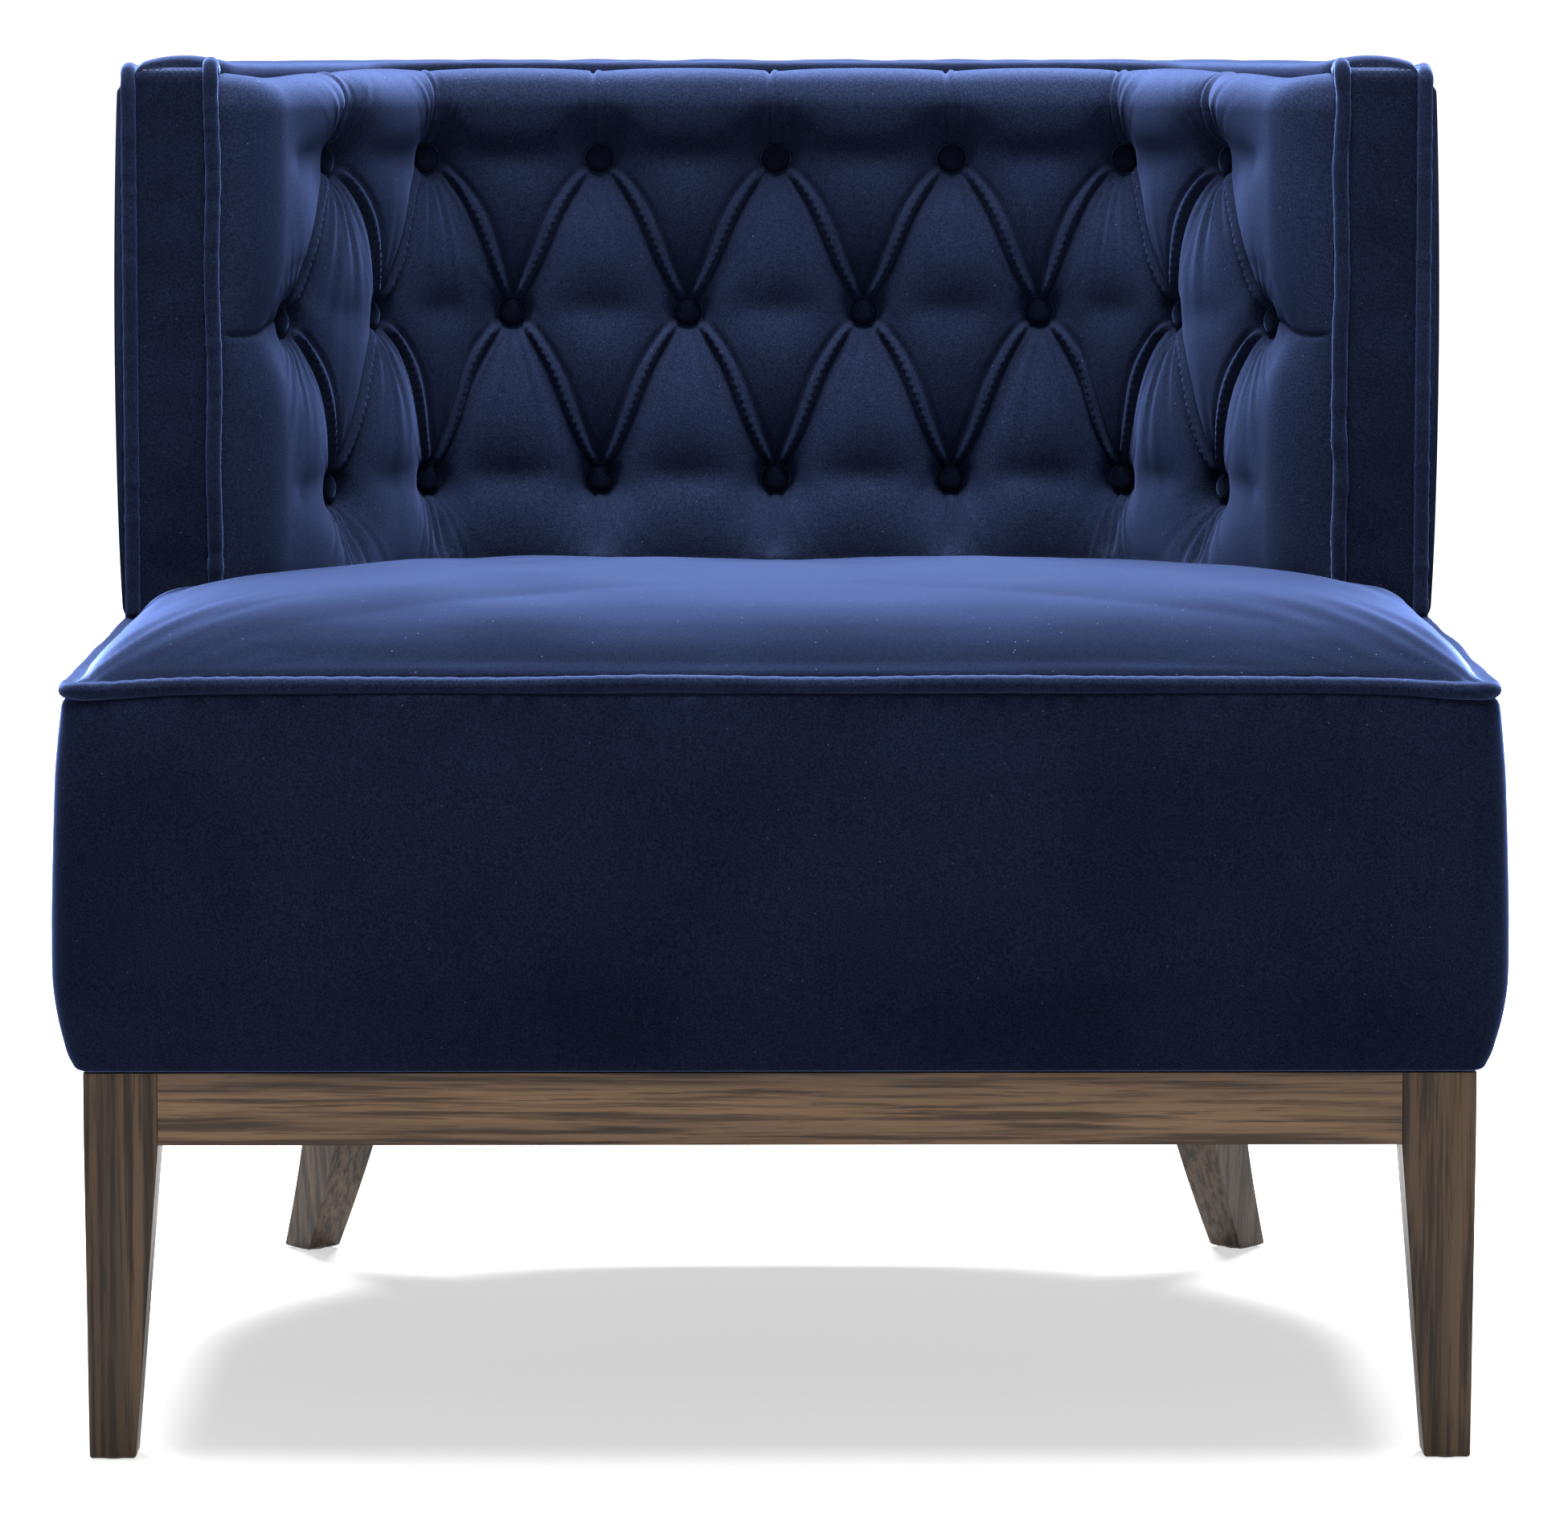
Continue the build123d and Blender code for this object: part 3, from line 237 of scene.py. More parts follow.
def loft(name, rings, closed=False):
    """Closed mesh through rings of points, joined end to end or capped."""
    count, around = rings.shape[:2]
    index = np.arange(count * around).reshape(count, around)
    if closed:
        index = np.vstack([index, index[:1]])
    turned = np.roll(index, -1, axis=1)
    quads = np.stack([index[:-1], index[1:], turned[1:], turned[:-1]], axis=-1).reshape(-1, 4)
    faces = quads.tolist()
    if not closed:
        faces += [index[0].tolist(), index[-1][::-1].tolist()]
    points = rings.reshape(-1, 3)
    if volume_of(points, quads) < 0:
        faces = [face[::-1] for face in faces]
    mesh = bpy.data.meshes.new(name)
    mesh.from_pydata(points.tolist(), [], faces)
    mesh.validate()
    return new_object(name, mesh)


def side_name(side):
    """The name of the chair's side at +X or -X."""
    return "right" if side > 0 else "left"


def volume_of(points, quads):
    """Signed volume under quads, enough to tell which way they face."""
    middle = points.mean(axis=0)
    a, b, c, d = (points[quads[:, k]] - middle for k in range(4))
    return np.einsum("ij,ij->", a, np.cross(b, c)) + np.einsum("ij,ij->", a, np.cross(c, d))


def new_object(name, mesh):
    """A smooth-shaded object in the scene."""
    piece = bpy.data.objects.new(name, mesh)
    bpy.context.scene.collection.objects.link(piece)
    mesh.shade_smooth()
    return piece


def dress(piece, finish, slot_name, *nodes):
    """Give a piece its finish, its place on the frame and the nodes that it stands for."""
    piece.data.materials.clear()
    piece.data.materials.append(finish)
    if nodes:
        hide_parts(*nodes)
    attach(piece, BODY)


def carried_along(points, normals, offset, height):
    """Points in space at an offset outside each outline point, at each height."""
    plan = points[:, None, :] + normals[:, None, :] * offset[..., None]
    return np.concatenate([plan, height[..., None]], axis=-1)


def tube_rings(path, radius, sides=14, closed=False):
    """Rings of a round cord along a path, with a radius that may vary."""
    ahead = np.roll(path, -1, axis=0) - np.roll(path, 1, axis=0)
    if not closed:
        ahead[0], ahead[-1] = path[1] - path[0], path[-1] - path[-2]
    ahead /= np.linalg.norm(ahead, axis=1, keepdims=True)
    aside = np.cross(ahead[0], (0.3, 0.2, 1.0))
    frames = []
    for direction in ahead:
        aside = aside - direction * aside.dot(direction)
        aside = aside / np.linalg.norm(aside)
        frames.append((aside, np.cross(direction, aside)))
    angles = np.arange(sides) * 2 * pi / sides
    across = np.array([f[0] for f in frames])[:, None, :] * np.cos(angles)[None, :, None]
    upward = np.array([f[1] for f in frames])[:, None, :] * np.sin(angles)[None, :, None]
    return path[:, None, :] + (across + upward) * np.reshape(radius, (-1, 1, 1))


# ------------------------------------------------------------------ outlines in plan


def arc_stations(centre, radius, start, end, spacing, least=6):
    """Points and outward normals on an arc, from one angle to another."""
    count = max(least, int(round(abs(end - start) * radius / spacing)))
    angles = np.linspace(start, end, count + 1)
    normals = np.stack([np.cos(angles), np.sin(angles)], axis=1)
    return np.array(centre) + normals * radius, normals


def line_stations(a, b, normal, spacing):
    """Points and normals on a straight, without its end point."""
    a, b = np.array(a, float), np.array(b, float)
    count = max(1, int(round(np.linalg.norm(b - a) / spacing)))
    t = np.linspace(0, 1, count + 1)[1:-1, None] if count > 1 else np.zeros((0, 1))
    points = a + (b - a) * t
    return points, np.tile(normal, (len(points), 1))


def round_rear(start_y, spacing):
    """Points and normals on the base outline from the right side, round the rear, to the left side."""
    corner_x = half_width - corner_radius
    start = (np.array([[half_width, start_y]]), np.array([[1.0, 0.0]]))
    side = line_stations((half_width, start_y), (half_width, straight_end_y), (1.0, 0.0), spacing)
    bend = arc_stations((corner_x, straight_end_y), corner_radius, 0, pi / 2, spacing)
    rear = line_stations((corner_x, rear_y), (-corner_x, rear_y), (0.0, 1.0), spacing)
    right = [np.vstack(parts) for parts in zip(start, side, bend)]
    return [np.vstack([half, flat, half[::-1] * MIRROR]) for half, flat in zip(right, rear)]


def round_body(spacing):
    """Points and normals all round the base outline, from the right front corner on."""
    x, y = half_width - front_corner_radius, front_y + front_corner_radius
    corner = arc_stations((x, y), front_corner_radius, -pi / 2, 0, spacing, least=8)
    rear = round_rear(y + spacing, spacing)
    front = line_stations((-x, front_y), (x, front_y), (0.0, -1.0), spacing)
    parts = zip(corner, rear, front)
    return [np.vstack([turn, rest, turn[::-1] * MIRROR, flat]) for turn, rest, flat in parts]


def runs_along(points):
    """Length from the first point to each point of an outline."""
    return np.concatenate([[0.0], np.cumsum(np.linalg.norm(np.diff(points, axis=0), axis=1))])


def button_line(run, depth):
    """Plan place at a run along the button line and a depth in front of it, and the way it faces."""
    b = back_sizes()
    side, length = np.where(run < 0, -1.0, 1.0), np.abs(run)
    bend = np.clip((length - b.half_flat) / b.bend_radius, 0, b.wing_angle)
    rest = np.maximum(length - b.half_flat - b.bend_radius * b.wing_angle, 0)
    x = np.minimum(length, b.half_flat) + b.bend_radius * np.sin(bend) + rest * np.cos(bend)
    y = button_line_y - b.bend_radius * (1 - np.cos(bend)) - rest * np.sin(bend)
    face_x, face_y = -np.sin(bend), -np.cos(bend)
    return side * (x + face_x * depth), y + face_y * depth, side * face_x, face_y


def pad_plan(run, depth):
    """Plan place on the pad at a run and depth: the button line, then the nose and the wing's front."""
    b = back_sizes()
    side, length = np.where(run < 0, -1.0, 1.0), np.abs(run)
    nose_run, front_run = nose_runs()
    x, y, face_x, face_y = button_line(np.minimum(length, nose_run), depth)
    angle = b.wing_angle * (1 - np.clip((length - nose_run) / (b.nose_radius * b.wing_angle), 0, 1))
    corner_x, corner_y, nx, ny = button_line(np.array(nose_run), np.array(b.pad_depth))
    centre_x, centre_y = corner_x - nx * b.nose_radius, corner_y - ny * b.nose_radius
    reach = b.nose_radius - (b.pad_depth - depth)
    turned_x, turned_y = -np.sin(angle), -np.cos(angle)
    beyond = length > nose_run
    ahead = np.maximum(length - front_run, 0)
    x = np.where(beyond, centre_x + turned_x * reach + ahead, x)
    y = np.where(beyond, centre_y + turned_y * reach, y)
    face_x = np.where(beyond, turned_x, face_x)
    face_y = np.where(beyond, turned_y, face_y)
    return side * x, y, side * face_x, face_y


def nose_runs():
    """Runs at which the pad starts to turn on to the wing's front, and at which it has turned."""
    b = back_sizes()
    straight = b.half_flat + b.bend_radius * b.wing_angle
    bend_y = button_line_y - b.bend_radius * (1 - cos(b.wing_angle)) - cos(b.wing_angle) * b.pad_depth
    to_corner = (bend_y - pad_front_y) / sin(b.wing_angle)
    start = straight + to_corner - b.nose_radius * tan(b.wing_angle / 2)
    return start, start + b.nose_radius * b.wing_angle


def pad_end_run():
    """Run at which the pad meets the inner piping."""
    turned = nose_runs()[1]
    x = float(pad_plan(np.array([turned]), np.array([back_sizes().pad_depth]))[0][0])
    return turned + inner_piping_x - piping_radius * 0.8 - x


# ------------------------------------------------------------------ tufting


def pad_rise_end():
    """Rise at the pad's top seam."""
    b = back_sizes()
    return pad_top - b.roll_radius + b.roll_radius * b.roll_turn


def pad_section(rise):
    """Depth, height and tilt of the plain pad at a rise: upright, then round over the top to its seam."""
    b = back_sizes()
    start = pad_top - b.roll_radius
    tilt = np.clip((rise - start) / b.roll_radius, 0, b.roll_turn)
    depth = b.pad_depth - b.roll_radius * (1 - np.cos(tilt))
    height = np.minimum(rise, start) + b.roll_radius * np.sin(tilt)
    return depth, height, tilt


def button_grid():
    """Run, height and row of every button."""
    b = back_sizes()
    found = []
    for row, height in enumerate(b.button_rows):
        places = range(-3, 4) if row % 2 == 0 else [i + 0.5 for i in range(-4, 4)]
        found += [(place * b.button_pitch, height, row) for place in places]
    return found


def pleats():
    """Every folded pleat as its start, its end, its bow and its kind."""
    b = back_sizes()
    buttons = button_grid()
    found = []

    def add(kind, start, end, bow=0.0):
        found.append(dict(kind=kind, a=start, b=end, bow=bow))

    for run, height, row in buttons:
        for other, low, below in buttons:
            if below == row + 1 and abs(abs(other - run) - b.button_pitch / 2) < MM:
                inward = (other - run) * run < 0
                in_bend = abs(run) > 1.5 * b.button_pitch
                add("diagonal", (run, height), (other, low), (7.5 if in_bend and inward else 1.5) * MM)
    for run, height, row in buttons:
        side = 1 if run > 0 else -1
        if row == 0:
            add("upper", (run, pad_rise_end()), (run, height))
        if row != 1 and abs(run) > 2.5 * b.button_pitch:
            add("hollow", (run, height), (run + side * b.button_pitch * 0.55, height))
        if row == 2:
            add("lower", (run, height), (run, seam_height + 25 * MM))
        if row == 1 and abs(run) > 3 * b.button_pitch:
            add("side", (run, height), (side * pad_end_run(), height - 5 * MM))
    return found


def along_and_across(pleat, run, rise):
    """Share of the way along a pleat, distance to the side that its fold lies on, and its length."""
    (x0, z0), (x1, z1) = pleat["a"], pleat["b"]
    dx, dz = x1 - x0, z1 - z0
    length = np.hypot(dx, dz)
    t = ((run - x0) * dx + (rise - z0) * dz) / length**2
    outward = 1.0 if dx >= 0 else -1.0
    across = ((rise - z0) * dx - (run - x0) * dz) / length * outward
    inside = np.clip(t, 0, 1)
    swing = pleat["bow"] * np.sin(pi * inside) + 2.2 * MM * np.sin(2 * pi * inside) * (dx != 0)
    return t, across - swing, length


def padding_height(run, rise):
    """Height of the cover over the buttons' seats, from a stretched sheet that the pleats hold down.

    The sheet settles on a coarse grid first and then on finer ones. It is less full on the wings."""
    b = back_sizes()
    height = None
    for cell in (8 * MM, 4 * MM, 2 * MM):
        runs, rises = steps(run[0], run[-1], cell), steps(rise[0], rise[-1], cell)
        grid_run, grid_rise = np.meshgrid(runs, rises, indexing="ij")
        pull, target = pulls(grid_run, grid_rise)
        if height is None:
            height = np.full(grid_run.shape, b.pad_depth * 0.7)
        else:
            height = resample(height, len(runs), len(rises))
        on_wing = ease((np.abs(grid_run) - 2.5 * b.button_pitch) / (60 * MM))
        load = b.puff / MM * cell**2 * (1 - 0.4 * on_wing)
        height = settle(height, pull * (cell / (2 * MM)) ** 2, target, load, 500)
    height = resample(height, len(run), len(rise))
    limit, give = b.pad_depth - 8 * MM, 9 * MM
    return np.where(height > limit, limit + give * np.tanh((height - limit) / give), height)


def settle(height, pull, target, load, rounds):
    """Let a sheet under pressure come to rest against the places that hold it."""
    held = load + pull * target
    divisor = 4 + pull
    for _ in range(rounds):
        edge = np.pad(height, 1, mode="edge")
        around = edge[:-2, 1:-1] + edge[2:, 1:-1] + edge[1:-1, :-2] + edge[1:-1, 2:]
        height = (around + held) / divisor
    return height


def resample(field, rows, columns):
    """A field read at another number of rows and columns, with smooth slopes."""
    return cubic_rows(cubic_rows(field, rows).T, columns).T


def cubic_rows(field, rows):
    """Catmull-Rom reading of a field along its first axis."""
    place = np.linspace(0, len(field) - 1, rows)
    i = np.minimum(place.astype(int), len(field) - 2)
    t = (place - i)[:, None]
    padded = np.vstack([2 * field[:1] - field[1:2], field, 2 * field[-1:] - field[-2:-1]])
    a, b, c, d = padded[i], padded[i + 1], padded[i + 2], padded[i + 3]
    return b + 0.5 * t * (c - a + t * (2 * a - 5 * b + 4 * c - d + t * (3 * (b - c) + d - a)))


def pleat_grip(kind, t):
    """Height that a pleat holds the cover at, how firmly and how widely, at a share of the way along."""
    b = back_sizes()
    full = b.pad_depth
    start, middle = 2.5 * MM, full - b.pleat_depth
    arch = np.sin(pi * np.clip(t, 0, 1)) ** 0.7
    return {
        "diagonal": (start + (middle - start) * arch, 1.6, 2.6 * MM),
        "upper": (full - 4 * MM - 10 * MM * ease(t), 0.35, 1.8 * MM),
        "lower": (5 * MM + 12 * MM * ease(t), 0.5, 2.2 * MM),
        "side": (6 * MM + (full - 8 * MM) * ease(t), 0.5, 2.6 * MM),
        "hollow": (3 * MM + (full - 6 * MM) * ease(t), 0.2, 6 * MM),
    }[kind]


def pulls(run, rise):
    """How strongly the cover is held at each place, and the height that it is held at."""
    b = back_sizes()
    full = b.pad_depth
    strength = np.full(run.shape, 1e-4)
    wanted = strength * full

    def hold(weight, level):
        nonlocal strength, wanted
        strength = strength + weight
        wanted = wanted + weight * level

    before_nose = ease((nose_runs()[0] - np.abs(run)) / (30 * MM))
    for row_height in b.button_rows:
        hold(0.10 * bump(rise - row_height - 2 * MM, 6 * MM) * before_nose, full - b.row_depth)
    for pleat in pleats():
        t, across, _ = along_and_across(pleat, run, rise)
        between_ends = ease((t + 0.02) / 0.08) * ease((1.02 - t) / 0.08)
        level, weight, reach = pleat_grip(pleat["kind"], t)
        hold(weight * bump(across, reach) * between_ends, level)
    for button_run, height, _ in button_grid():
        far = np.hypot(run - button_run, rise - height)
        hold(60 * ease((11 * MM - far) / (3 * MM)), 1.0 * MM)
    hold(40 * ease((pad_bottom + 24 * MM - rise) / (14 * MM)), full - MM)
    hold(40 * ease((rise - pad_rise_end() + 3 * MM) / (3 * MM)), full - 4.5 * MM)
    hold(40 * ease((np.abs(run) - pad_end_run() + 5 * MM) / (5 * MM)), full - MM)
    return strength, wanted / strength


def diagonal_fold(t, across, length):
    """A crease, the twisted folded edge beside it, and a softer crease."""
    wide = back_sizes().pleat_width * (0.5 + 0.5 * np.sin(pi * np.clip(t, 0, 1)))
    crease = -2.6 * MM * bump(across + 0.5 * MM, 1.4 * MM)
    fold = 2.1 * MM * ease(across / (0.3 * wide)) * ease((wide - across) / (0.45 * wide))
    twist = 1 + 0.4 * np.cos(2 * pi * (t * length - 0.7 * across) / (5.0 * MM))
    edge = 1.4 * MM * twist * bump(across - 0.3 * wide, 1.3 * MM)
    outer = -1.8 * MM * bump(across - 1.1 * wide, 1.6 * MM)
    return crease + fold + edge + outer


def upright_fold(t, across, second_share):
    """A crease with its folded edge, and a second crease over part of the length."""
    crease = -2.2 * MM * bump(across + 3.6 * MM, 1.3 * MM)
    edge = 1.2 * MM * bump(across + 0.8 * MM, 1.8 * MM)
    second = -1.5 * MM * bump(across - 4.2 * MM, 1.4 * MM)
    return (crease + edge + second * second_share) * ease((t + 0.05) / 0.05) * ease((1 - t) / 0.12)


def fold_height(run, rise):
    """Crisp folds of the pleats."""
    total = np.zeros(run.shape)
    for pleat in pleats():
        t, across, length = along_and_across(pleat, run, rise)
        ends = ease(t / 0.16) * ease((1 - t) / 0.12)
        if pleat["kind"] == "diagonal":
            total += diagonal_fold(t, across, length) * ends
        elif pleat["kind"] == "side":
            total += -1.4 * MM * bump(across, 1.4 * MM) * ends
        elif pleat["kind"] == "lower":
            total += upright_fold(t, across, ease((1 - t) / 0.45))
        elif pleat["kind"] == "upper":
            total += upright_fold(t, across, ease((t - 0.1) / 0.5))
    return total


def crease_height(run, rise):
    """Fine creases that fan out under and over the buttons."""
    b = back_sizes()
    rng = np.random.default_rng(b.seed)
    total = np.zeros(run.shape)
    for button_run, height, _ in button_grid():
        in_bend = 1.4 * b.button_pitch < abs(button_run) < 3.2 * b.button_pitch
        far = np.hypot(run - button_run, rise - height) + 1e-9
        down = np.arctan2(run - button_run, height - rise)
        up = np.arctan2(run - button_run, rise - height)
        for angle, reach, window, weight in (
            (down, 34 * MM if in_bend else 24 * MM, radians(30), 1.7 if in_bend else 1.0),
            (up, 22 * MM if in_bend else 13 * MM, radians(34), 1.3 if in_bend else 0.7),
        ):
            count = rng.integers(17, 24)
            phase, lean = rng.uniform(0, 2 * pi), rng.uniform(-0.1, 0.1)
            bend = lean + 0.25 * rng.uniform(-1, 1) * far / (60 * MM)
            folds = np.cos(count * (angle - bend) + phase) + 0.5 * np.cos(count * 1.7 * angle + 2 * phase)
            swell = np.exp(-(far - 10 * MM) / reach) * ease((far - 9 * MM) / (8 * MM))
            total += b.wrinkle * weight * folds * swell * bump(angle, window)
    return total


def well_height(run, rise, height):
    """The cover drawn down into the seat of each button."""
    width = back_sizes().well_width
    for button_run, button_height, _ in button_grid():
        far = np.hypot(run - button_run, rise - button_height)
        out = np.clip((far - 8 * MM) / (width - 8 * MM), 0, 1)
        seat = 1.0 * MM + 19 * MM * (1 - (1 - out) ** 2.2)
        share = ease((width - far) / (width / 2))
        height = height * (1 - share) + np.minimum(height, seat) * share
    return height


def tufted_surface():
    """Points of the whole buttoned cover, by run and rise."""
    b = back_sizes()
    end = pad_end_run()
    runs, rises = steps(-end, end, b.pad_cell), steps(pad_bottom, pad_rise_end(), b.pad_cell)
    run, rise = np.meshgrid(runs, rises, indexing="ij")
    height = padding_height(runs, rises)
    last_run, last_rise = max((abs(place), level) for place, level, _ in button_grid())
    clear = ease((np.hypot(np.abs(run) - last_run, rise - last_rise) - 12 * MM) / (24 * MM))
    height = height - b.nose_ease * bump(np.abs(run) - nose_runs()[0] + 4 * MM, 40 * MM) * clear
    near_seams = ease((pad_rise_end() - rise) / (6 * MM)) * ease((end - np.abs(run)) / (6 * MM))
    height = height + crease_height(run, rise) * near_seams
    height = well_height(run, rise, height)
    height = height + fold_height(run, rise) * ease((end - np.abs(run)) / (4 * MM))
    depth, level, tilt = pad_section(rise)
    x, y, face_x, face_y = pad_plan(run, depth)
    sunk = b.pad_depth - height
    points = np.stack([x, y, level], axis=-1)
    facing = np.stack([face_x * np.cos(tilt), face_y * np.cos(tilt), np.sin(tilt)], axis=-1)
    return points - facing * sunk[..., None]


def make_tufted_pad():
    """The buttoned velvet of back and wings, closed behind against the board."""
    surface = tufted_surface()
    end = pad_end_run()
    runs = steps(-end, end, back_sizes().pad_cell)
    nose_run = nose_runs()[0]
    behind = -17.0 * MM
    x, y, _, _ = button_line(np.clip(runs, -nose_run, nose_run), behind)
    beyond = np.clip((np.abs(runs) - nose_run) / (end - nose_run), 0, 1)
    y = y + (frame_front - 0.5 * MM - y) * beyond
    x = x + (np.sign(runs) * (inner_piping_x - piping_radius) - x) * beyond
    top = np.stack([x, y, np.full(x.shape, top_plate_top + 1 * MM)], axis=-1)
    low = np.stack([x, y, np.full(x.shape, pad_bottom)], axis=-1)
    rings = np.concatenate([surface, top[:, None], low[:, None]], axis=1)
    return loft("buttoned_back_pad", rings)


# ------------------------------------------------------------------ seat


# Heights and offsets outside the base, in millimetres; the foot's heights are over the body's underside
BORDER_FOOT = ((0.4, -1.0), (0.2, 1.5), (0.9, 3.4), (2.2, 4.7))
BORDER_BULGE = (
    (216, 5.5), (220, 7.6), (229, 10.4), (254, 15.3), (289, 16.2), (323, 15.4),
    (357, 14.2), (374, 13.4), (391, 11.7), (408, 9.4), (414.5, 8.4),
)
BORDER_EDGE = ((415.6, 7.6), (416.0, 5.0), (416.0, -1.0))


def corner_distance(points):
    """Plan distance of each outline point from the nearer front corner."""
    return np.hypot(np.abs(points[:, 0]) - half_width, points[:, 1] - front_y)


def border_section():
    """Heights and offsets of the border: its tucked foot, its bulge and its edge under the piping."""
    bulge = np.array(BORDER_BULGE) * MM
    fine_below, fine_above = 262 * MM, 372 * MM
    heights = np.concatenate([steps(bulge[0, 0], fine_below, 4 * MM)[:-1],
                              steps(fine_below, fine_above, 8 * MM)[:-1],
                              steps(fine_above, bulge[-1, 0], 3 * MM)])
    face = np.stack([heights, curve_through(bulge, heights)], axis=-1)
    return np.vstack([np.array(BORDER_FOOT) * MM + (body_bottom, 0), face, np.array(BORDER_EDGE) * MM]).T


def make_border():
    """Velvet border of the seat: bulged, tucked under at the bottom and puckered at its seams."""
    s = seat_sizes()
    points, normals = round_body(3.2 * MM)
    q = runs_along(points)
    length = q[-1] + 3 * MM
    height, offset = border_section()
    foot, edge = BORDER_BULGE[0][0] * MM, BORDER_BULGE[-1][0] * MM
    near_foot = bump(np.maximum(height - foot, 0), 16 * MM)
    near_edge = bump(np.minimum(height - edge, 0), 22 * MM)
    free = ease((height - body_bottom) / (4 * MM)) * ease((edge + 2 * MM - height) / (4 * MM))
    gathers = ripple(q, length, 11 * MM, 34 * MM, 3)[:, None] * near_edge
    hem = ripple(q, length, 14 * MM, 45 * MM, 4)[:, None] * near_foot
    slack = ripple(q, length, 160 * MM, 600 * MM, 5)[:, None] * ease((height - 220 * MM) / (30 * MM))
    corner = corner_distance(points)[:, None]
    flare = s.corner_flare * 0.5 * bump(corner, 30 * MM) * near_edge
    droop = s.corner_droop * bump(corner, 40 * MM) * near_edge * ease((height - 300 * MM) / (100 * MM))
    out = offset + (s.seam_pucker * (gathers + 0.7 * hem) + 0.6 * MM * slack + flare) * free
    return loft("seat_border", carried_along(points, normals, out, height - droop), closed=True)


def seat_piping_path(spacing):
    """Middle of the cord round the seat, with its flare and droop at the front corners."""
    s = seat_sizes()
    points, normals = round_body(spacing)
    q = runs_along(points)
    length = q[-1] + spacing
    near = corner_distance(points)
    front_share = ease((wing_front - points[:, 1]) / (60 * MM))
    out = piping_offset + s.corner_flare * bump(near, 24 * MM)
    out = out + s.piping_wave * 0.8 * ripple(q, length, 150 * MM, 500 * MM, 11) * front_share
    behind = bump(points[:, 1] - (front_y + 110 * MM), 70 * MM) * (np.abs(normals[:, 0]) > 0.5)
    out = out - 1.6 * MM * behind
    z = seam_height - s.corner_droop * bump(near, 42 * MM)
    z = z + s.piping_wave * ripple(q, length, 160 * MM, 500 * MM, 12) * front_share
    return np.concatenate([points + normals * out[:, None], z[:, None]], axis=1), q, length


def make_seat_piping():
    """Covered cord round the seat's top edge."""
    path, q, length = seat_piping_path(3.0 * MM)
    radius = piping_radius * (1 + 0.03 * ripple(q, length, 9 * MM, 25 * MM, 13))
    return loft("seat_piping_cord", tube_rings(path, radius, sides=14, closed=True), closed=True)


# Distances from the front edge and from a side edge, in millimetres, and shares of the crown's rise
CROWN_LENGTHWISE = (
    (0, 0.0), (8, 0.13), (20, 0.30), (44, 0.53), (75, 0.71), (112, 0.83), (160, 0.925), (235, 1.0),
)
CROWN_CROSSWISE = (
    (0, 0.0), (8, 0.24), (18, 0.42), (34, 0.57), (60, 0.71), (100, 0.82), (150, 0.89), (208, 0.945),
    (300, 0.985), (374, 1.0),
)


def crown_top(x, y):
    """Height of the crowned seat at a place in plan."""
    s = seat_sizes()
    edge = seam_height + 4.4 * MM
    rise = s.crown_height - edge
    inset_front = y - front_y
    inset_side = half_width - np.abs(x)
    before_top = np.minimum(inset_front, s.crown_setback)
    lengthwise = curve_through(np.array(CROWN_LENGTHWISE) * (MM, 1), before_top)
    crosswise = curve_through(np.array(CROWN_CROSSWISE) * (MM, 1), inset_side)
    share = 1 - ((1 - lengthwise) ** 4 + (1 - crosswise) ** 4) ** 0.25
    share = np.maximum(share, 0.2 * np.minimum(lengthwise, crosswise))
    past = np.maximum(inset_front - s.crown_setback, 0) / (rear_y + button_line_y - s.crown_setback)
    fall = s.crown_rear_drop * past**1.35 * 1.25
    mitre = (inset_front - inset_side) * HALF_DIAGONAL
    far = np.hypot(inset_front, inset_side)
    crease = 1.0 * MM * bump(mitre, 2.4 * MM) * ease((44 * MM - far) / (30 * MM))
    hollow = 1.1 * MM * bump(far - 34 * MM, 26 * MM)
    droop = s.corner_droop * bump(far, 42 * MM)
    return edge + rise * share - fall * ease(inset_side / (60 * MM)) - crease - hollow - droop


def crown_half_width(y):
    """Half width of the crown at y: over the border in front of the wings, between them behind."""
    wide = half_width - 0.4 * MM
    b = back_sizes()
    bend_x, bend_y, _, _ = button_line(np.array(b.half_flat + b.bend_radius * b.wing_angle), b.pad_depth)
    narrow = bend_x + (bend_y - y) * cos(b.wing_angle) / sin(b.wing_angle)
    inner = b.bend_radius - b.pad_depth
    in_bend = np.clip((y - (button_line_y - b.bend_radius)) / inner, 0, 1)
    bent = b.half_flat + inner * np.sqrt(np.maximum(1 - in_bend**2, 0))
    narrow = np.where(y > bend_y, bent, narrow)
    return np.where(y < wing_front - 1.6 * MM, wide, narrow - 0.3 * MM)


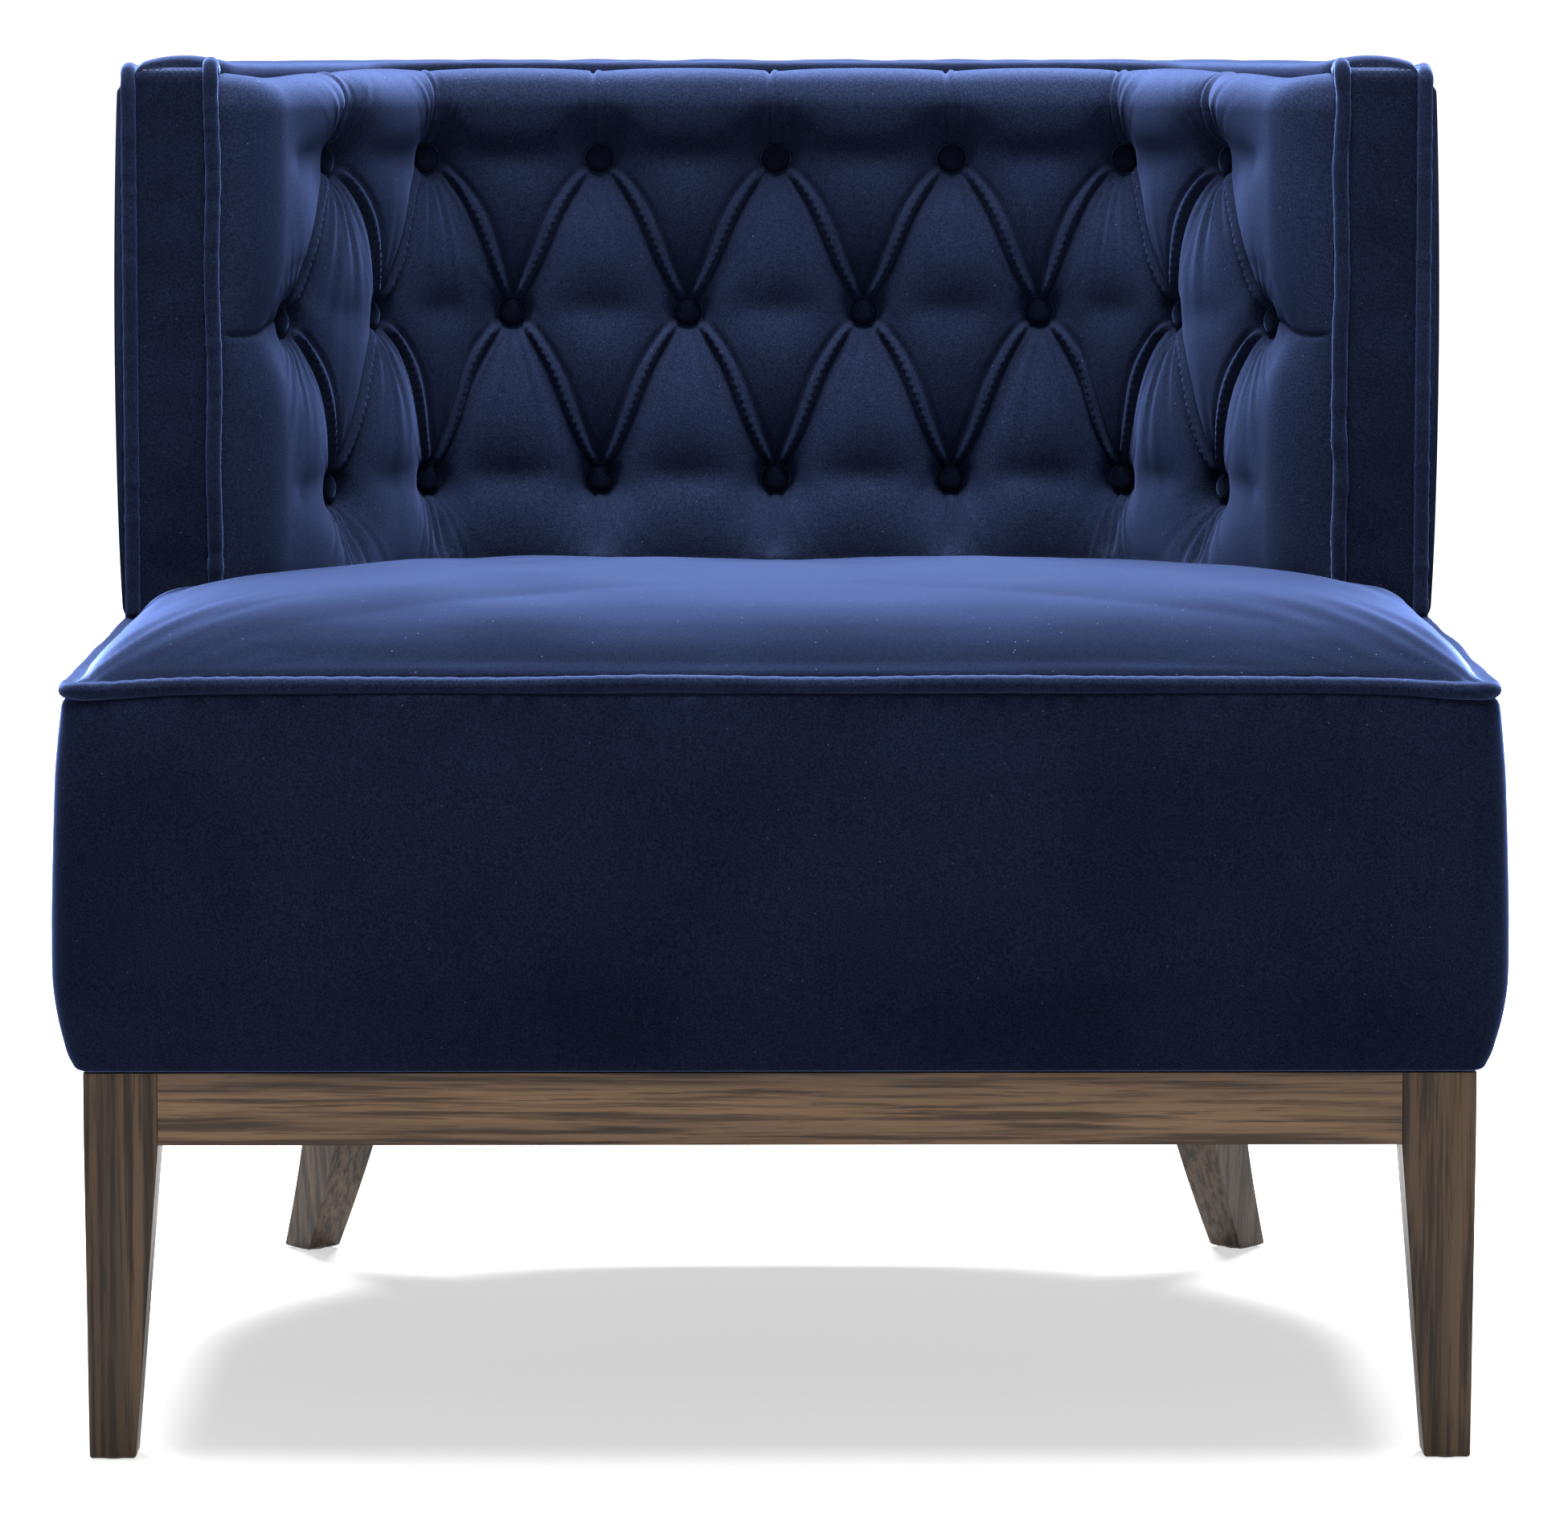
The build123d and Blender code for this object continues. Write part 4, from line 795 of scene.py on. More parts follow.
def make_crown():
    """Velvet over the crowned seat foam, let swell a little as stuffed cloth does."""
    s = seat_sizes()
    start, stop = front_y + 0.4 * MM, wing_front - 1.8 * MM
    end = button_line_y - back_sizes().pad_depth - 0.3 * MM
    least = 0.8 * MM
    near = start + np.cumsum(np.linspace(least, s.crown_cell, 14)) - least
    front, rear = steps(near[-1], stop, s.crown_cell)[1:], steps(stop + 0.5 * MM, end, s.crown_cell)
    rows = np.concatenate([near, front, rear])
    share = np.linspace(-1, 1, 2 * int(round(half_width / s.crown_cell)) + 1)
    share = np.sign(share) * (1 - (1 - np.abs(share)) ** 1.12)
    x = crown_half_width(rows)[:, None] * share[None, :]
    y = np.repeat(rows[:, None], len(share), axis=1)
    flare = s.corner_flare * bump(np.hypot(np.abs(x) - half_width, y - front_y), 24 * MM)
    z = crown_top(x, y)
    x, y = x + np.sign(x) * flare, y - flare
    width, inset = 0.76, y - front_y
    uneven = ripple(x, width, 90 * MM, 300 * MM, 21, 5) * ripple(inset, width, 120 * MM, 300 * MM, 22, 5)
    z = z + 0.25 * MM * uneven * ease((z - seam_height - 6 * MM) / (20 * MM))
    top = np.stack([x, y, z], axis=-1)
    left, right = top[:, :1].copy(), top[:, -1:].copy()
    left[..., 2] = right[..., 2] = seam_height + 0.7 * MM
    piece = loft("seat_crown", np.concatenate([top, right, left], axis=1))
    swell(piece, held_below=seam_height + 7 * MM, share=0.3, cap=2 * MM)
    return piece


def swell(piece, held_below, share, cap, pressure=4.0, frames=20):
    """Cloth simulation of a stuffed cover: held along its low edge, pushed out from inside.

    The cover takes a share of what the simulation gives, and moves no further than the cap."""
    mesh = piece.data
    rest = np.empty(len(mesh.vertices) * 3)
    mesh.vertices.foreach_get("co", rest)
    rest = rest.reshape(-1, 3)
    held = piece.vertex_groups.new(name="sewn")
    low = np.nonzero(rest[:, 2] < held_below)[0]
    held.add([int(i) for i in low], 1.0, "REPLACE")
    cloth = piece.modifiers.new("Cloth", "CLOTH")
    cloth.settings.effector_weights.gravity = 0
    cloth.settings.use_pressure = True
    cloth.settings.uniform_pressure_force = pressure
    cloth.settings.vertex_group_mass = held.name
    cloth.settings.tension_stiffness = 40
    cloth.settings.compression_stiffness = 40
    cloth.settings.bending_stiffness = 4
    cloth.settings.quality = 4
    cloth.point_cache.frame_start, cloth.point_cache.frame_end = 1, frames
    for number in range(1, frames + 1):
        bpy.context.scene.frame_set(number)
    evaluated = piece.evaluated_get(bpy.context.evaluated_depsgraph_get())
    moved = np.empty(len(mesh.vertices) * 3)
    evaluated.data.vertices.foreach_get("co", moved)
    piece.modifiers.clear()
    piece.vertex_groups.clear()
    shift = np.nan_to_num(moved.reshape(-1, 3) - rest) * share
    far = np.linalg.norm(shift, axis=1, keepdims=True)
    shift *= np.minimum(1, cap / np.maximum(far, 1e-9))
    mesh.vertices.foreach_set("co", (rest + shift).ravel())
    mesh.update()
    bpy.context.scene.frame_set(1)


# ------------------------------------------------------------------ wings, top and outside


def make_facing(side):
    """Padded velvet strip on the front of one wing, turned back at the top."""
    x0, x1 = facing_box[0].x, facing_box[1].x
    middle, half = (x0 + x1) / 2, (x1 - x0) / 2 + 1.3 * MM
    face, rear, turn = wing_front + 1.2 * MM, frame_front - 0.5 * MM, 5.5 * MM
    across = np.linspace(-1, 1, 17)
    rings = []
    for z in steps(cover_bottom, facing_top, 3 * MM):
        past = max(z - (facing_top - turn), 0) / turn
        turned_back = turn * (1 - np.sqrt(max(1 - past**2, 0)))
        swelling = 2.6 * MM * (1 - across**2) * (1 - 0.6 * past)
        edge = 1.6 * MM * np.abs(across) ** 8
        wave = 0.35 * MM * np.sin(z * 61 + across * 2 + side) + 0.25 * MM * np.sin(z * 147 + side * 2)
        y = face - swelling + edge + turned_back + wave * (1 - across**2)
        front = np.stack([middle + half * across, y, z - 0.6 * MM * past * across**2], axis=-1)
        rings.append(np.vstack([front, (middle + half, rear, z), (middle - half, rear, z)]))
    return loft(f"wing_facing_{side_name(side)}", np.array(rings) * (side, 1, 1))


def turned_cord_path(x, y, top, turn):
    """A cord up a wing's front that turns back over the top."""
    up = steps(cover_bottom, top - turn, 3 * MM)
    angles = np.linspace(0, pi / 2, 8)[1:]
    ahead = np.concatenate([np.full(up.shape, y), y + turn * (1 - np.cos(angles))])
    level = np.concatenate([up, top - turn + turn * np.sin(angles)])
    return np.stack([np.full(level.shape, x), ahead, level], axis=-1)


def make_inner_piping(side):
    """Covered cord up the inner edge of a wing's front."""
    path = turned_cord_path(inner_piping_x, inner_piping_y, inner_cord_top, piping_radius + 0.3 * MM)
    tail = path[-1] + np.array([[0, 6, -0.5], [0, 12, -3]]) * MM
    path = np.vstack([path, tail])
    q, length = runs_along(path), 330 * MM
    path[:, 0] += 0.5 * MM * ripple(q, length, 60 * MM, 200 * MM, 31 + side)
    path[:, 0] *= side
    radius = piping_radius * (0.97 + 0.03 * ripple(q, length, 9 * MM, 30 * MM, 33 + side))
    return loft(f"inner_piping_cord_{side_name(side)}", tube_rings(path, radius))


def make_outer_piping():
    """Covered cord up both wings' outer edges and round the back's top edge, higher at the wings."""
    turn = piping_radius + 2.5 * MM
    upright = turned_cord_path(half_width + outer_piping_offset, inner_piping_y, outer_cord_top, turn)
    points, normals = round_rear(inner_piping_y + turn + 3 * MM, 3.5 * MM)
    plan = points + normals * outer_piping_offset
    near_wing = ease((wing_front + 70 * MM - plan[:, 1:]) / (60 * MM))
    level = outer_piping_height + (outer_cord_top - outer_piping_height) * near_wing
    path = np.vstack([upright, np.hstack([plan, level]), upright[::-1] * (-1, 1, 1)])
    q, length = runs_along(path), 2.3
    above = ease((path[:, 2] - 720 * MM) / (10 * MM))
    path[:, 2] += 0.5 * MM * ripple(q, length, 120 * MM, 400 * MM, 41) * above
    radius = piping_radius * (0.97 + 0.03 * ripple(q, length, 9 * MM, 30 * MM, 42))
    return loft("outer_piping_cord", tube_rings(path, radius))


def band_section(turn):
    """Shifts, drops and shares of the width across the band, which rounds over at both edges."""
    inner = [(turn * (1 - cos(a)), -turn * (1 - sin(a)), 0.0) for a in np.linspace(0, pi / 2, 6)]
    flat = [(0.0, 0.0, t) for t in np.linspace(0, 1, 12)[1:-1]]
    outer = [(-shift, drop, 1.0) for shift, drop, _ in reversed(inner)]
    return np.array(inner + flat + outer).T


def band_edges():
    """Plan of the band's inner edge at the pad's seam and of its outer edge at the piping."""
    points, normals = round_rear(wing_front + 2.5 * MM, 6 * MM)
    share = runs_along(points) / runs_along(points)[-1]
    end = nose_runs()[0] + 25 * MM
    seam = float(pad_section(np.array(pad_rise_end()))[0])
    x, y, _, _ = button_line(end - 2 * end * share, seam - 0.8 * MM)
    near_end = ease((36 * MM - (y - wing_front)) / (34 * MM))
    x = np.sign(x) * (np.abs(x) + near_end * (inner_piping_x + 2 * MM - np.abs(x)) * ease(near_end))
    inner = np.stack([x, np.maximum(y, wing_front + 2.5 * MM)], axis=-1)
    return inner, points + normals * (outer_piping_offset - piping_radius * 0.7), share


def make_top_band():
    """Velvet band over the top of the back and wings, domed at the wings' fronts."""
    inner, outer, share = band_edges()
    turn = 6 * MM
    shift, drop, t = band_section(turn)
    width = np.linalg.norm(outer - inner, axis=1)[:, None]
    flat = turn / width + (1 - 2 * turn / width) * t
    u = shift / width + np.where((t > 0) & (t < 1), flat, t)
    plan = inner[:, None] + (outer - inner)[:, None] * u[..., None]
    sag = 3 * MM * ease((wing_front + 11 * MM - outer[:, 1:]) / (9 * MM))
    dome = (0.8 + 4.2 * ease((wing_front + 80 * MM - outer[:, 1:]) / (70 * MM))) * MM
    dome = (dome + 0.35 * MM * ripple(share, 1.0, 0.03, 0.12, 51)[:, None]) * (1 - (2 * u - 1) ** 2)
    level = top_cover_top - 0.8 * MM + drop + dome - sag
    top = np.concatenate([plan, level[..., None]], axis=-1)
    low = np.full(width.shape, top_plate_top + 2 * MM)
    under = np.stack([np.hstack([outer, low]), np.hstack([inner, low])], axis=1)
    return loft("back_top_band", np.concatenate([top, under], axis=1))


def make_outer_cover():
    """Velvet stretched round the outside of the back."""
    points, normals = round_rear(wing_front + 2.5 * MM, 5 * MM)
    q = runs_along(points)
    low, high = cover_bottom, outer_cover_box[1].z
    foot, edge = low + np.array([0, 0.8, 2.5, 5.5]) * MM, high - np.array([4.5, 2.0, 0.6, 0]) * MM
    heights = np.concatenate([foot, steps(low + 10 * MM, high - 8 * MM, 12 * MM), edge])
    share = (heights - low) / (high - low)
    face = outer_cover_offset - 2.0 * MM + 2.2 * MM * np.sin(pi * np.clip(share, 0, 1)) ** 0.6
    face = face - 3.0 * MM * bump(heights - high, 2.5 * MM) - 2.0 * MM * bump(heights - low, 2.5 * MM)
    pull = ripple(q, q[-1], 28 * MM, 90 * MM, 61)[:, None] * bump(heights - low, 30 * MM)
    pull = pull + ripple(q, q[-1], 28 * MM, 90 * MM, 62)[:, None] * bump(heights - high, 26 * MM)
    slack = ripple(q, q[-1], 250 * MM, 700 * MM, 63)[:, None] * np.sin(pi * share)
    inside = np.full((len(points), 2), 3.4 * MM)
    offset = np.hstack([face + 0.28 * MM * pull + 0.5 * MM * slack, inside])
    level = np.tile([*heights, high, low], (len(points), 1))
    return loft("back_outer_panel", carried_along(points, normals, offset, level))


# ------------------------------------------------------------------ buttons and stitches


def copies_tree():
    """Geometry nodes that set a copy of a small piece at every point, turned by the point's own angles."""
    tree = bpy.data.node_groups.new("copies_at_points", "GeometryNodeTree")
    for name, kind in (("Geometry", "Geometry"), ("Copy", "Object"), ("Size", "Float"),
                       ("Size spread", "Float"), ("Finish", "Material")):
        tree.interface.new_socket(name, in_out="INPUT", socket_type="NodeSocket" + kind)
    tree.interface.new_socket("Geometry", in_out="OUTPUT", socket_type="NodeSocketGeometry")
    add, link = tree.nodes.new, tree.links.new
    entry, leave = add("NodeGroupInput"), add("NodeGroupOutput")
    source = add("GeometryNodeObjectInfo")
    link(entry.outputs["Copy"], source.inputs["Object"])
    turned = add("GeometryNodeInputNamedAttribute")
    turned.data_type = "FLOAT_VECTOR"
    turned.inputs["Name"].default_value = "turn"
    spin = add("FunctionNodeEulerToRotation")
    link(turned.outputs["Attribute"], spin.inputs["Euler"])
    chance = add("FunctionNodeRandomValue")
    chance.data_type = "FLOAT"
    chance.inputs["Seed"].default_value = 5
    for name, operation in (("Min", "SUBTRACT"), ("Max", "ADD")):
        limit = add("ShaderNodeMath")
        limit.operation = operation
        link(entry.outputs["Size"], limit.inputs[0])
        link(entry.outputs["Size spread"], limit.inputs[1])
        link(limit.outputs[0], next(i for i in chance.inputs if i.name == name and i.type == "VALUE"))
    place = add("GeometryNodeInstanceOnPoints")
    link(entry.outputs["Geometry"], place.inputs["Points"])
    link(source.outputs["Geometry"], place.inputs["Instance"])
    link(spin.outputs["Rotation"], place.inputs["Rotation"])
    link(next(o for o in chance.outputs if o.type == "VALUE"), place.inputs["Scale"])
    real = add("GeometryNodeRealizeInstances")
    finish = add("GeometryNodeSetMaterial")
    link(place.outputs["Instances"], real.inputs["Geometry"])
    link(real.outputs["Geometry"], finish.inputs["Geometry"])
    link(entry.outputs["Finish"], finish.inputs["Material"])
    link(finish.outputs["Geometry"], leave.inputs["Geometry"])
    return tree


def set_copies(name, small, places, turns, finish, spread):
    """One plain mesh of a small piece repeated at places."""
    mesh = bpy.data.meshes.new(name + "_points")
    mesh.from_pydata([tuple(p) for p in places], [], [])
    angles = mesh.attributes.new("turn", "FLOAT_VECTOR", "POINT")
    angles.data.foreach_set("vector", np.array(turns, float).ravel())
    host = bpy.data.objects.new(name + "_points", mesh)
    bpy.context.scene.collection.objects.link(host)
    tree = bpy.data.node_groups.get("copies_at_points") or copies_tree()
    modifier = host.modifiers.new("Copies", "NODES")
    modifier.node_group = tree
    inputs = {i.name: i.identifier for i in tree.interface.items_tree if i.in_out == "INPUT"}
    modifier[inputs["Copy"]] = small
    modifier[inputs["Size"]] = 1.0
    modifier[inputs["Size spread"]] = spread
    modifier[inputs["Finish"]] = finish
    bpy.context.view_layer.update()
    made = bpy.data.meshes.new_from_object(host.evaluated_get(bpy.context.evaluated_depsgraph_get()))
    made.name = name
    host.modifiers.clear()
    bpy.data.objects.remove(host)
    bpy.data.objects.remove(small)
    return new_object(name, made)


# Shares of the radius and heights over the button's seat, in millimetres
BUTTON_SECTION = (
    (0.02, 4.6), (0.3, 4.5), (0.55, 4.2), (0.76, 3.5), (0.9, 2.5), (0.98, 1.2), (1.0, 0.1), (0.93, -1.0),
    (0.7, -1.6),
)


def small_button():
    """A cloth-covered button: domed, with a soft rim and gathers running under it."""
    radius, around, gathers = 9.0 * MM, 36, 12
    angles = np.arange(around) * 2 * pi / around
    rings = []
    for share, height in BUTTON_SECTION:
        reach = radius * share * (1 + 0.02 * share**4 * np.cos(gathers * angles))
        level = np.full(around, height * MM)
        rings.append(np.stack([reach * np.cos(angles), reach * np.sin(angles), level], axis=-1))
    return loft("button_pattern", np.array(rings))


def make_buttons(finish):
    """All buttons, seated in their wells."""
    places, turns = [], []
    rng = np.random.default_rng(back_sizes().seed)
    for run, height, _ in button_grid():
        x, y, face_x, face_y = (float(v) for v in button_line(np.array(run), np.array(0.8 * MM)))
        forward = Vector((face_x, face_y, rng.uniform(-0.05, 0.05))).normalized()
        turns.append(tuple(forward.to_track_quat("Z", "Y").to_euler()))
        places.append((x, y, height))
    return set_copies("velvet_buttons", small_button(), places, turns, finish, 0.02)


def small_stitch():
    """One short stitch of thread, fatter in the middle."""
    length, thick, rise = 2.6 * MM, 0.34 * MM, 0.25 * MM
    path = np.array([(t * length, 0, rise * (1 - (2 * t) ** 2)) for t in np.linspace(-0.5, 0.5, 7)])
    radius = thick * np.sqrt(np.maximum(1 - np.linspace(-0.97, 0.97, 7) ** 2, 0.02))
    return loft("stitch_pattern", tube_rings(path, radius, sides=8))


def make_stitches(finish):
    """Hand stitches that close the facings at the top of the wings."""
    pitch, margin = 3.2 * MM, 3 * MM
    middle, half = (facing_box[0].x + facing_box[1].x) / 2, (facing_box[1].x - facing_box[0].x) / 2
    count = int(2 * (half - margin) / pitch)
    places, turns = [], []
    for side in (1, -1):
        for i in range(count):
            across = (half - margin) * ((2 * i + 1) / count - 1)
            swelling = 1 - (across / half) ** 2
            y = wing_front + (2.7 - 1.5 * swelling) * MM
            places.append((side * (middle + across), y, facing_top - 1.6 * MM))
            turns.append((pi / 2, 0.05 * (-1) ** i, 0))
    return set_copies("facing_stitches", small_stitch(), places, turns, finish, 0.05)


# ------------------------------------------------------------------ finishes


def new_pattern(name, inputs):
    """A shader group with its inputs, which gives a colour, a height and a roughness."""
    tree = bpy.data.node_groups.new(name, "ShaderNodeTree")
    tree.interface.new_socket("Vector", in_out="INPUT", socket_type="NodeSocketVector")
    for label, value in inputs.items():
        kind = "NodeSocketColor" if isinstance(value, tuple) else "NodeSocketFloat"
        tree.interface.new_socket(label, in_out="INPUT", socket_type=kind).default_value = value
    for label, kind in (("Colour", "Color"), ("Height", "Float"), ("Roughness", "Float")):
        tree.interface.new_socket(label, in_out="OUTPUT", socket_type="NodeSocket" + kind)
    return tree, tree.nodes.new("NodeGroupInput").outputs, tree.nodes.new("NodeGroupOutput").inputs


def add_noise(tree, vector, scale, detail=2.0, roughness=0.5, output="Fac"):
    """A noise texture on some coordinates."""
    node = tree.nodes.new("ShaderNodeTexNoise")
    node.inputs["Detail"].default_value = detail
    node.inputs["Roughness"].default_value = roughness
    if isinstance(scale, (int, float)):
        node.inputs["Scale"].default_value = scale
    else:
        tree.links.new(scale, node.inputs["Scale"])
    tree.links.new(vector, node.inputs["Vector"])
    return node.outputs[output]


def add_stretch(tree, vector, scale, turn=(0, 0, 0)):
    """Coordinates turned and stretched."""
    node = tree.nodes.new("ShaderNodeMapping")
    node.inputs["Scale"].default_value = scale
    node.inputs["Rotation"].default_value = turn
    tree.links.new(vector, node.inputs["Vector"])
    return node.outputs["Vector"]


def add_range(tree, value, low, high, to_low=0.0, to_high=1.0, smooth=True):
    """A value mapped from one range to another."""
    node = tree.nodes.new("ShaderNodeMapRange")
    node.interpolation_type = "SMOOTHSTEP" if smooth else "LINEAR"
    for name, number in zip(("From Min", "From Max", "To Min", "To Max"), (low, high, to_low, to_high)):
        node.inputs[name].default_value = number
    tree.links.new(value, node.inputs["Value"])
    return node.outputs["Result"]


def add_math(tree, operation, a, b):
    """One step of arithmetic on sockets or numbers."""
    node = tree.nodes.new("ShaderNodeMath")
    node.operation = operation
    for socket, value in zip(node.inputs, (a, b)):
        if isinstance(value, (int, float)):
            socket.default_value = value
        else:
            tree.links.new(value, socket)
    return node.outputs[0]


def add_mix(tree, share, a, b, mode="MIX"):
    """A mix of two colours."""
    node = tree.nodes.new("ShaderNodeMix")
    node.data_type, node.blend_type = "RGBA", mode
    colours = [i for i in node.inputs if i.type == "RGBA"]
    factor = next(i for i in node.inputs if i.type == "VALUE")
    for socket, value in ((factor, share), (colours[0], a), (colours[1], b)):
        if isinstance(value, (int, float)):
            socket.default_value = value
        elif isinstance(value, (tuple, list)):
            socket.default_value = (*value[:3], 1.0)
        else:
            tree.links.new(value, socket)
    return next(o for o in node.outputs if o.type == "RGBA")


def pile_group():
    """Velvet pile: soft patches where it lies differently, a fine nap and a few specks of lint."""
    found = bpy.data.node_groups.get("velvet_pile")
    if found:
        return found
    tree, given, made = new_pattern("velvet_pile", {
        "Deep": (0.004, 0.006, 0.02, 1), "Lit": (0.01, 0.02, 0.06, 1),
        "Patch scale": 9.0, "Nap scale": 900.0, "Lint": 0.5,
    })
    vector = given["Vector"]
    patches = add_noise(tree, vector, given["Patch scale"], 4.0, 0.55)
    nap = add_noise(tree, vector, given["Nap scale"], 2.0, 0.6)
    comb = add_noise(tree, add_stretch(tree, vector, (260, 260, 70)), 1.0)
    lie = add_math(tree, "MULTIPLY", add_range(tree, patches, 0.36, 0.66), 0.75)
    lie = add_math(tree, "ADD", lie, add_range(tree, comb, 0.3, 0.7, -0.08, 0.12))
    lie = add_math(tree, "ADD", lie, add_range(tree, nap, 0.3, 0.7, -0.12, 0.16))
    colour = add_mix(tree, lie, given["Deep"], given["Lit"])
    grain = tree.nodes.new("ShaderNodeVectorMath")
    grain.operation = "SCALE"
    tree.links.new(colour, grain.inputs[0])
    tree.links.new(add_range(tree, nap, 0.3, 0.7, 0.66, 1.36), grain.inputs["Scale"])
    cells = tree.nodes.new("ShaderNodeTexVoronoi")
    cells.inputs["Scale"].default_value = 150.0
    tree.links.new(vector, cells.inputs["Vector"])
    near = add_range(tree, cells.outputs["Distance"], 0.03, 0.085, 1.0, 0.0)
    rare = tree.nodes.new("ShaderNodeSeparateColor")
    tree.links.new(cells.outputs["Color"], rare.inputs["Color"])
    few = add_math(tree, "GREATER_THAN", rare.outputs[0], 0.72)
    speck = add_math(tree, "MULTIPLY", add_math(tree, "MULTIPLY", near, few), given["Lint"])
    tree.links.new(add_mix(tree, speck, grain.outputs[0], (0.045, 0.055, 0.11)), made["Colour"])
    tree.links.new(nap, made["Height"])
    tree.links.new(add_range(tree, patches, 0.3, 0.7, 0.72, 0.9), made["Roughness"])
    return tree


def new_finish(name):
    """An empty material with its Principled shader and output."""
    material = bpy.data.materials.new(name)
    material.use_nodes = True
    tree = material.node_tree
    shader = next(n for n in tree.nodes if n.type == "BSDF_PRINCIPLED")
    place = tree.nodes.new("ShaderNodeTexCoord")
    return material, tree, shader, place.outputs["Object"]


def add_bump(tree, shader, height, distance, strength=1.0):
    """Feed a height to the shader's normal."""
    node = tree.nodes.new("ShaderNodeBump")
    node.inputs["Distance"].default_value = distance
    node.inputs["Strength"].default_value = strength
    tree.links.new(height, node.inputs["Height"])
    tree.links.new(node.outputs["Normal"], shader.inputs["Normal"])


def add_pattern(tree, shader, group, vector, values, bump_height, strength):
    """Set a shader group in a material, with its own values, and feed the shader from it."""
    node = tree.nodes.new("ShaderNodeGroup")
    node.node_tree = group
    tree.links.new(vector, node.inputs["Vector"])
    for name, value in values.items():
        node.inputs[name].default_value = value
    tree.links.new(node.outputs["Colour"], shader.inputs["Base Color"])
    tree.links.new(node.outputs["Roughness"], shader.inputs["Roughness"])
    add_bump(tree, shader, node.outputs["Height"], bump_height, strength)


def lifted(colour, painted_light_level):
    """A colour made brighter or darker, for a socket: painted light and shade on copies of one material."""
    return (*[c * painted_light_level for c in colour], 1)


# One velvet in several copies: lint, size of its patches, brightness (painted light and shade, each copy
# lighter or darker), strength and breadth of the sheen
VELVETS = {
    "navy_velvet": dict(lint=0.5, patch_scale=9.0, painted_light_level=1.0, sheen=0.5, fuzz=0.3),
    "seat_velvet": dict(lint=0.5, patch_scale=9.0, painted_light_level=0.35, sheen=1.0, fuzz=0.25),
    "padded_velvet": dict(lint=0.8, patch_scale=9.0, painted_light_level=1.5, sheen=0.12, fuzz=0.5),
    "button_velvet": dict(lint=0.15, patch_scale=40.0, painted_light_level=0.7, sheen=0.3, fuzz=0.3),
    "navy_piping_velvet": dict(lint=0.3, patch_scale=14.0, painted_light_level=1.2, sheen=0.25, fuzz=0.4),
}


def velvet(name):
    """Deep navy cotton velvet, made once for each copy; each copy's brightness is painted light and shade.
    """
    found = bpy.data.materials.get(name)
    if found:
        return found
    f, values = finishes(), VELVETS[name]
    material, tree, shader, place = new_finish(name)
    pile = {
        # This copy's colours are made lighter or darker: painted light and shade
        "Deep": lifted(f.velvet_deep, values["painted_light_level"]), "Lit": lifted(f.velvet_lit, values["painted_light_level"]),
        "Patch scale": values["patch_scale"], "Lint": values["lint"],
    }
    add_pattern(tree, shader, pile_group(), place, pile, 0.25 * MM, 0.5)
    shader.inputs["Specular IOR Level"].default_value = 0.0
    shader.inputs["Sheen Weight"].default_value = values["sheen"]
    shader.inputs["Sheen Roughness"].default_value = values["fuzz"]
    shader.inputs["Sheen Tint"].default_value = (*f.velvet_sheen, 1)
    return material


def grain_group():
    """Grain of a dark walnut on coordinates stretched along the fibres."""
    found = bpy.data.node_groups.get("timber_grain")
    if found:
        return found
    tree, given, made = new_pattern("timber_grain", {
        "Dark": (0.02, 0.01, 0.01, 1), "Middle": (0.08, 0.05, 0.03, 1), "Light": (0.2, 0.1, 0.04, 1),
    })
    vector = given["Vector"]
    shift = tree.nodes.new("ShaderNodeVectorMath")
    shift.operation = "MULTIPLY_ADD"
    shift.inputs[1].default_value = (9.0, 9.0, 9.0)
    tree.links.new(add_noise(tree, vector, 0.035, output="Color"), shift.inputs[0])
    tree.links.new(vector, shift.inputs[2])
    bands = add_range(tree, add_noise(tree, shift.outputs[0], 0.16, 3.0, 0.55), 0.36, 0.66)
    fibres = add_noise(tree, shift.outputs[0], 0.8, 4.0, 0.62)
    dark = add_math(tree, "MULTIPLY", add_range(tree, fibres, 0.42, 0.62), 0.85)
    pores = add_range(tree, add_noise(tree, vector, 2.4, 2.0, 0.6), 0.60, 0.70)
    colour = add_mix(tree, bands, given["Middle"], given["Light"])
    colour = add_mix(tree, dark, colour, given["Dark"])
    colour = add_mix(tree, add_math(tree, "MULTIPLY", pores, 0.7), colour, given["Dark"])
    tree.links.new(colour, made["Colour"])
    height = add_math(tree, "SUBTRACT", add_math(tree, "MULTIPLY", fibres, 0.3), pores)
    tree.links.new(height, made["Height"])
    tree.links.new(add_range(tree, fibres, 0.3, 0.7, 0.34, 0.5), made["Roughness"])
    return tree


def wood(name, stretch, turn=(0, 0, 0), painted_light_level=1.0):
    """Satin walnut with its grain along one direction."""
    f = finishes()
    material, tree, shader, place = new_finish(name)
    colours = {"Dark": f.wood_dark, "Middle": f.wood_mid, "Light": f.wood_light}
    values = {part: lifted(colour, painted_light_level) for part, colour in colours.items()}
    add_pattern(tree, shader, grain_group(), add_stretch(tree, place, stretch, turn), values, 0.12 * MM, 0.6)
    shader.inputs["Specular IOR Level"].default_value = 0.15
    return material


